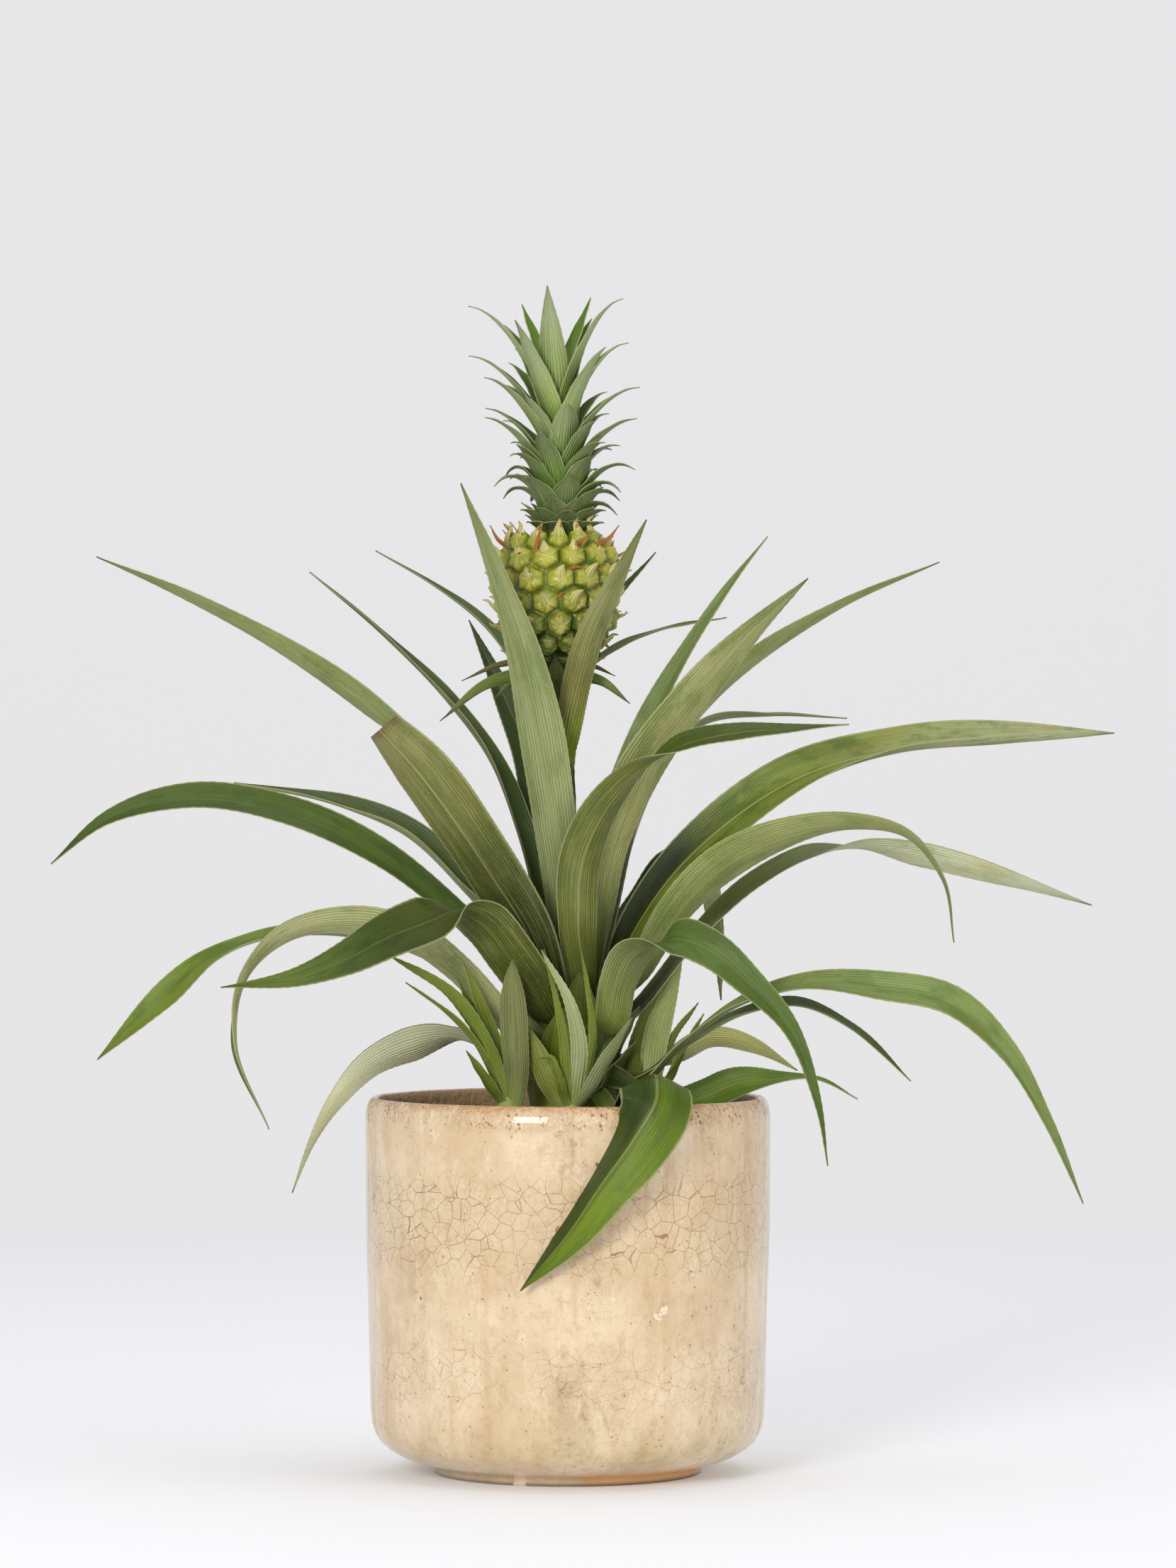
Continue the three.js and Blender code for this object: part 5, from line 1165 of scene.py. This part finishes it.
def crown_leaf(turn, foot, reach, bend, tip, wide, blunt=1.9, rows=22):
    """Bearing, height of the foot, reach from the midline, heights of the bend and the tip,
    width, how blunt it is, and rows along it."""
    out = bearing(turn)
    root = crown_axis(foot) + out * along(CROWN_RING, foot, 1) * 0.45
    end = crown_axis(tip) + out * reach
    over = max(bend + 3, tip - 1) if reach > LONG_REACH else bend + 3
    knee = crown_axis(over) + out * mix(reach, 8, 0.54)

    def at(t):
        return root * (1 - t) ** 2 + knee * 2 * t * (1 - t) + end * t * t

    points = [at(t) for t in (0, 0.2, 0.38, 0.55, 0.72, 0.86, 1)]
    faces = []
    for a, b in zip(points, points[1:]):
        run = b - a
        faces.append(out * -run.z + UP * run.dot(out))
    faces.append(faces[-1])
    grown = ease((foot - CROWN_START) / 44)
    look = {"upper": blend(CROWN_DARK, CROWN_GREEN, grown),
            "under": blend(CROWN_DARK, CROWN_GREY, grown),
            "foot_tone": blend(CROWN_BASE, CROWN_FRESH, grown), "foot_share": 0.8,
            "tip": CROWN_TIP, "rib": 0.1, "patch": 0.3}
    blade(crown, points, faces, points[1] - points[0], look, rows, columns=8, size=wide,
          width=lambda t: max(0.35, wide * min(1, 0.8 + t) * (1 - t ** blunt)),
          channel=lambda t: math.radians(mix(85, 50, t)), thick=lambda t: mix(0.9, 0.4, t),
          seed=turn * 0.13 + foot, teeth=0.12, wave=0.15, crease=0.2, soften=1)


crown = bmesh.new()
# The core is painted dark over its lower third, a painted shade where it shows between the feet of
# the leaves
tube(crown, [(crown_axis(z), r) for z, r in CROWN_CORE], 20,
     lambda share: blend(CORE_PAINTED_SHADE, CROWN_GREEN, ease(share * 3)))
# The leaves that make the outline
for row in (
        (262, 424, 9, 452, 467.3, 14), (142, 428, 15, 448, 461.5, 11),
        (38, 428, 20, 448, 464.3, 11), (226, 414, 21, 440, 453.3, 14),
        (325, 408, 25, 434, 442.7, 14), (348, 420, 29, 446, 462.3, 12),
        (186, 420, 33, 440, 459.6, 11), (16, 412, 31, 438, 446, 13),
        (172, 408, 34, 430, 440.6, 13), (196, 402, 29, 424, 431.2, 13),
        (166, 396, 29, 415, 420, 13), (192, 390, 29, 410, 415.6, 13),
        (10, 402, 34, 418, 428.3, 13), (350, 392, 32, 407, 415.2, 13),
        (20, 388, 26, 404, 405.3, 13), (318, 386, 25, 404, 405, 14), (214, 382, 23, 402, 400, 14),
        (160, 380, 23, 401, 393, 13), (356, 379, 30, 400, 395.2, 13),
        (196, 377, 27, 397, 388.3, 13), (172, 375.5, 23, 392, 384, 13),
        (342, 375.5, 25, 394, 386, 13), (14, 375, 24, 390, 383.3, 13),
        (355, 374.5, 22, 384, 377.3, 13)):
    crown_leaf(*row)
# The broad blunt ones that lie over each other at the front like scales
for row in (
        (302, 396, 9.5, 412, 423, 15), (234, 384, 12.5, 400, 410, 15),
        (216, 400, 15, 416, 424, 13), (330, 392, 17, 408, 414, 14),
        (290, 371, 12.5, 385, 393, 17), (318, 380, 17, 394, 400, 15),
        (222, 372, 17, 386, 392, 16), (306, 366, 13.5, 378, 384, 15),
        (256, 366, 13.5, 378, 384, 15), (334, 372, 19, 382, 388, 15),
        (204, 384, 18, 398, 405, 13), (342, 388, 18, 400, 408, 13),
        (280, 365, 14.5, 375, 378.6, 13), (232, 366, 16, 376, 379.6, 13),
        (326, 366, 16, 376, 380, 13), (206, 367, 18, 377, 379, 12), (348, 367, 18, 377, 379, 12),
        (264, 364, 15.5, 372, 374, 11), (296, 364, 15.5, 372, 374.6, 11),
        (244, 364, 16.5, 372, 373.6, 11), (316, 364, 17, 372, 374, 11),
        (218, 365, 17.5, 372, 374, 11), (338, 365, 18, 372, 374, 11)):
    crown_leaf(*row, blunt=4.0, rows=18)
# The same round the back
for i in range(26):
    share = i / 25
    foot = mix(372.5, 422, share)
    crown_leaf(90 + 62 * math.sin(i * 2.4 + 0.6), foot, mix(21, 25, math.sin(share * math.pi)),
               foot + mix(15, 24, share), foot + mix(11, 34, share), mix(14, 12, share))
for i in range(13):
    odd = i % 2
    crown_leaf(i * 16 - 6, 364 + odd * 3, 14.5 + odd * 1.5, 373 + odd * 4, 377.5 + odd * 5, 10,
               blunt=2.4, rows=14)
finished(crown, "crown_tuft", "crown", green, "fruit_crown")


# Three young shoots stand in the soil beside the stem: small rosettes of fresh yellow green
# leaves round a short core.
SHOOT_GREEN = paint(118, 134, 36)
SHOOT_PALE = paint(172, 180, 104)
SHOOT_GREY = paint(124, 128, 78)
PLAIN = (SHOOT_GREEN, SHOOT_GREEN)
CORE_FOOT = 121


def shoot_leaf(bm, x, y, seed, wide, cup, face, midrib, tones=PLAIN, widest=0.42, point=1.8):
    """Width, channel in degrees, which way the blade faces, its midrib and its two tones."""
    first, *rest = [sighted(row) for row in midrib]
    root = Vector((mix(first.x, x, 0.5), mix(first.y, y, 0.5), first.z))
    middle, tip = [math.radians(a) for a in cup]
    look = {"upper": tones[0], "under": tones[1], "foot_tone": SHOOT_PALE, "tip": TIP_BROWN,
            "rib": 0.5, "patch": 0.4}
    blade(bm, [root] + rest, [Vector(face)] * len(midrib), rest[0] - root, look, rows=44,
          columns=8, size=wide, width=strap_width(wide, 0.7, widest, point, 1.15, 0.5),
          channel=lambda t: mix(middle, tip, t), thick=lambda t: mix(1.0, 0.5, ease(t / 0.3)),
          seed=seed, teeth=0.2, wave=0.2)


def shoot(name, x, y, high, reach, leaves):
    """A core up to a height, and the leaves round it."""
    bm = bmesh.new()
    tube(bm, [(Vector((x, y, CORE_FOOT)), reach), (Vector((x, y, high - 8)), reach),
              (Vector((x, y, high - 3)), reach * 0.85), (Vector((x, y, high)), reach * 0.5)],
         20, lambda share: SHOOT_PALE)
    for n, row in enumerate(leaves):
        shoot_leaf(bm, x, y, n * 5.3 + x, *row)
    finished(bm, name + "_grown", "shoot", green, name)


shoot("shoot_left", -23, -31, 150, 4.6, [
    (12, (120, 90), (1, 9, 0),
     [(-20.5, -34, 143), (-20.6, -37, 156), (-21.4, -40, 172), (-22, -41, 188), (-22, -40, 202)],
     (SHOOT_GREEN, SHOOT_GREY), 0.55, 2.6),
    (8, (80, 45), (6, 7, 3),
     [(-23.5, -32, 143), (-27, -33, 154), (-34, -33, 171), (-46, -34, 188), (-71, -35, 204)]),
    (7, (80, 45), (6, 3, 5),
     [(-24, -30, 143), (-30, -30, 156), (-37.5, -30, 170), (-48, -30, 181), (-64, -29, 193)]),
    (7, (70, 45), (4, -8, 2),
     [(-23, -28, 144), (-26, -28, 158), (-31, -28.5, 174), (-41, -29, 200.5)]),
    (6, (70, 45), (5, -7, 3),
     [(-24, -29, 143), (-29, -26.5, 158), (-35, -26, 176), (-43.6, -26.5, 194.5)]),
    (6.5, (70, 45), (6, 6, 3),
     [(-25, -32, 143), (-29, -34, 149), (-33.5, -36, 156), (-40, -38, 166)])])
shoot("shoot_front", 1, -33, 148, 4.4, [
    (7.0, (80, 50), (1, 9, 0),
     [(2.5, -35, 143), (3.2, -37, 154), (4.4, -38.5, 166), (1, -40, 184), (-10.6, -41, 206)],
     (SHOOT_PALE, paint(176, 182, 136)), 0.34, 1.3),
    (3.6, (75, 50), (1, 9, 0),
     [(0, -35, 143), (-0.8, -37.5, 156), (-2, -38.5, 171), (-5, -39, 188), (-9.5, -38, 206)],
     PLAIN, 0.3, 1.3),
    (4.2, (75, 50), (-3, 9, 0),
     [(3, -33, 143), (7, -36, 155), (9.8, -38, 171), (8, -40, 190), (5.3, -41, 205)],
     PLAIN, 0.3, 1.3),
    (10.5, (65, 45), (3, 9, 1),
     [(-1.5, -33, 143), (-6.5, -34.5, 152), (-11, -34.5, 162), (-16, -34, 176)],
     (SHOOT_GREEN, paint(138, 144, 62)), 0.4),
    (4, (65, 35), (3, 8, 1),
     [(-1, -36, 143), (-2.5, -39, 151), (-4.5, -40.5, 158), (-7, -41, 163.5),
      (-11.5, -41.5, 163)]),
    (6, (80, 45), (-4, 8, 2),
     [(3.5, -35, 143), (8, -38, 150), (13, -40, 159), (18.5, -41, 168), (25.5, -42, 179.3)],
     (SHOOT_GREEN, paint(146, 154, 112)))])
shoot("shoot_right", 32, 6, 150, 4.6, [
    (13, (75, 55), (-3, 9, 1),
     [(32, 5, 144), (32.5, 3.5, 154), (34, 2, 168), (38, 1, 184), (45, 0, 202)],
     (SHOOT_PALE, paint(196, 204, 136)), 0.5, 1.9),
    (6, (75, 50), (-5, 7, 2),
     [(30, 4, 143), (25.5, 1, 155), (27, -1, 169), (32, -2.5, 183), (41, -3.5, 196)]),
    (5.5, (75, 50), (-5, 6, 4), [(33, 6, 144), (35.5, 7, 155), (40, 8, 168), (51.5, 8, 185)]),
    (5, (75, 50), (-5, 5, 5), [(34, 7, 145), (39, 10, 153), (45, 12, 165), (53.7, 13, 180.7)]),
    (5, (75, 50), (-5, 6, 4), [(33.5, 4, 143), (37, 2, 149), (41, 0.5, 156), (46, -1, 165)]),
    (7, (65, 45), (-1, 9, 0), [(30, 3, 143), (27, 0.5, 151), (26, -1.5, 160), (25.7, -2.5, 170)])])


# The stage is a pale table top that ends before a pale wall, lit softly from the front, upper
# left. It isn't part of the plant.
TABLE_EDGE = 1.249
WALL_DISTANCE = 4.2
ROOM_LIGHT = 0.47
LENS = 138.46
CAMERA_SPOT = (0.00797, -2.380, 0.2713)
GLOW = (1.0, 1.0, 1.02, 1)
plaster = Finish("lit wall", Roughness=0.9, Specular_IOR_Level=0.1,
                 Base_Color=paint(229, 229, 231), Emission_Color=GLOW, Emission_Strength=0.33)
ground = Finish("lit table", Roughness=0.8, Specular_IOR_Level=0.15,
                Base_Color=paint(237, 238, 242), Emission_Color=GLOW, Emission_Strength=0.13)
for name, finish, near, far in (
        ("floor", ground, (-6, -6, 0), (6, TABLE_EDGE, 0)),
        ("wall", plaster, (-6, WALL_DISTANCE, -2), (6, WALL_DISTANCE, 5))):
    bm = bmesh.new()
    for vert in bmesh.ops.create_grid(bm, x_segments=1, y_segments=1, size=1)["verts"]:
        vert.co = (near[0] if vert.co.x < 0 else far[0], *(near if vert.co.y < 0 else far)[1:])
    skinned(bm, name, finish)

world = bpy.data.worlds.new("room")
world.use_nodes = True
air = world.node_tree.nodes["Background"].inputs
air["Color"].default_value = (1.0, 0.99, 0.98, 1)
air["Strength"].default_value = ROOM_LIGHT
bpy.context.scene.world = world

for name, spot, target, width, height, watts in (
        ("window", (-0.8, -2.1, 0.85), (0, 0, 0.2), 0.75, 0.65, 28),
        ("fill", (1.7, -1.2, 0.5), (0, 0, 0.2), 1.5, 1.5, 13),
        ("sky", (0.2, 0.2, 2.2), (0, 0, 0), 1.8, 1.8, 13)):
    light = bpy.data.lights.new(name, "AREA")
    light.shape = "RECTANGLE"
    light.size, light.size_y, light.energy = width, height, watts
    lamp = placed(name, light)
    lamp.location = spot
    lamp.rotation_euler = (Vector(target) - Vector(spot)).to_track_quat("-Z", "Y").to_euler()

camera_data = bpy.data.cameras.new("camera")
camera_data.sensor_width = 36
camera_data.lens = LENS
camera = placed("camera", camera_data)
camera.location = CAMERA_SPOT
camera.rotation_euler = (math.radians(90), 0, 0)
bpy.context.scene.camera = camera
bpy.context.scene.view_settings.view_transform = "Standard"
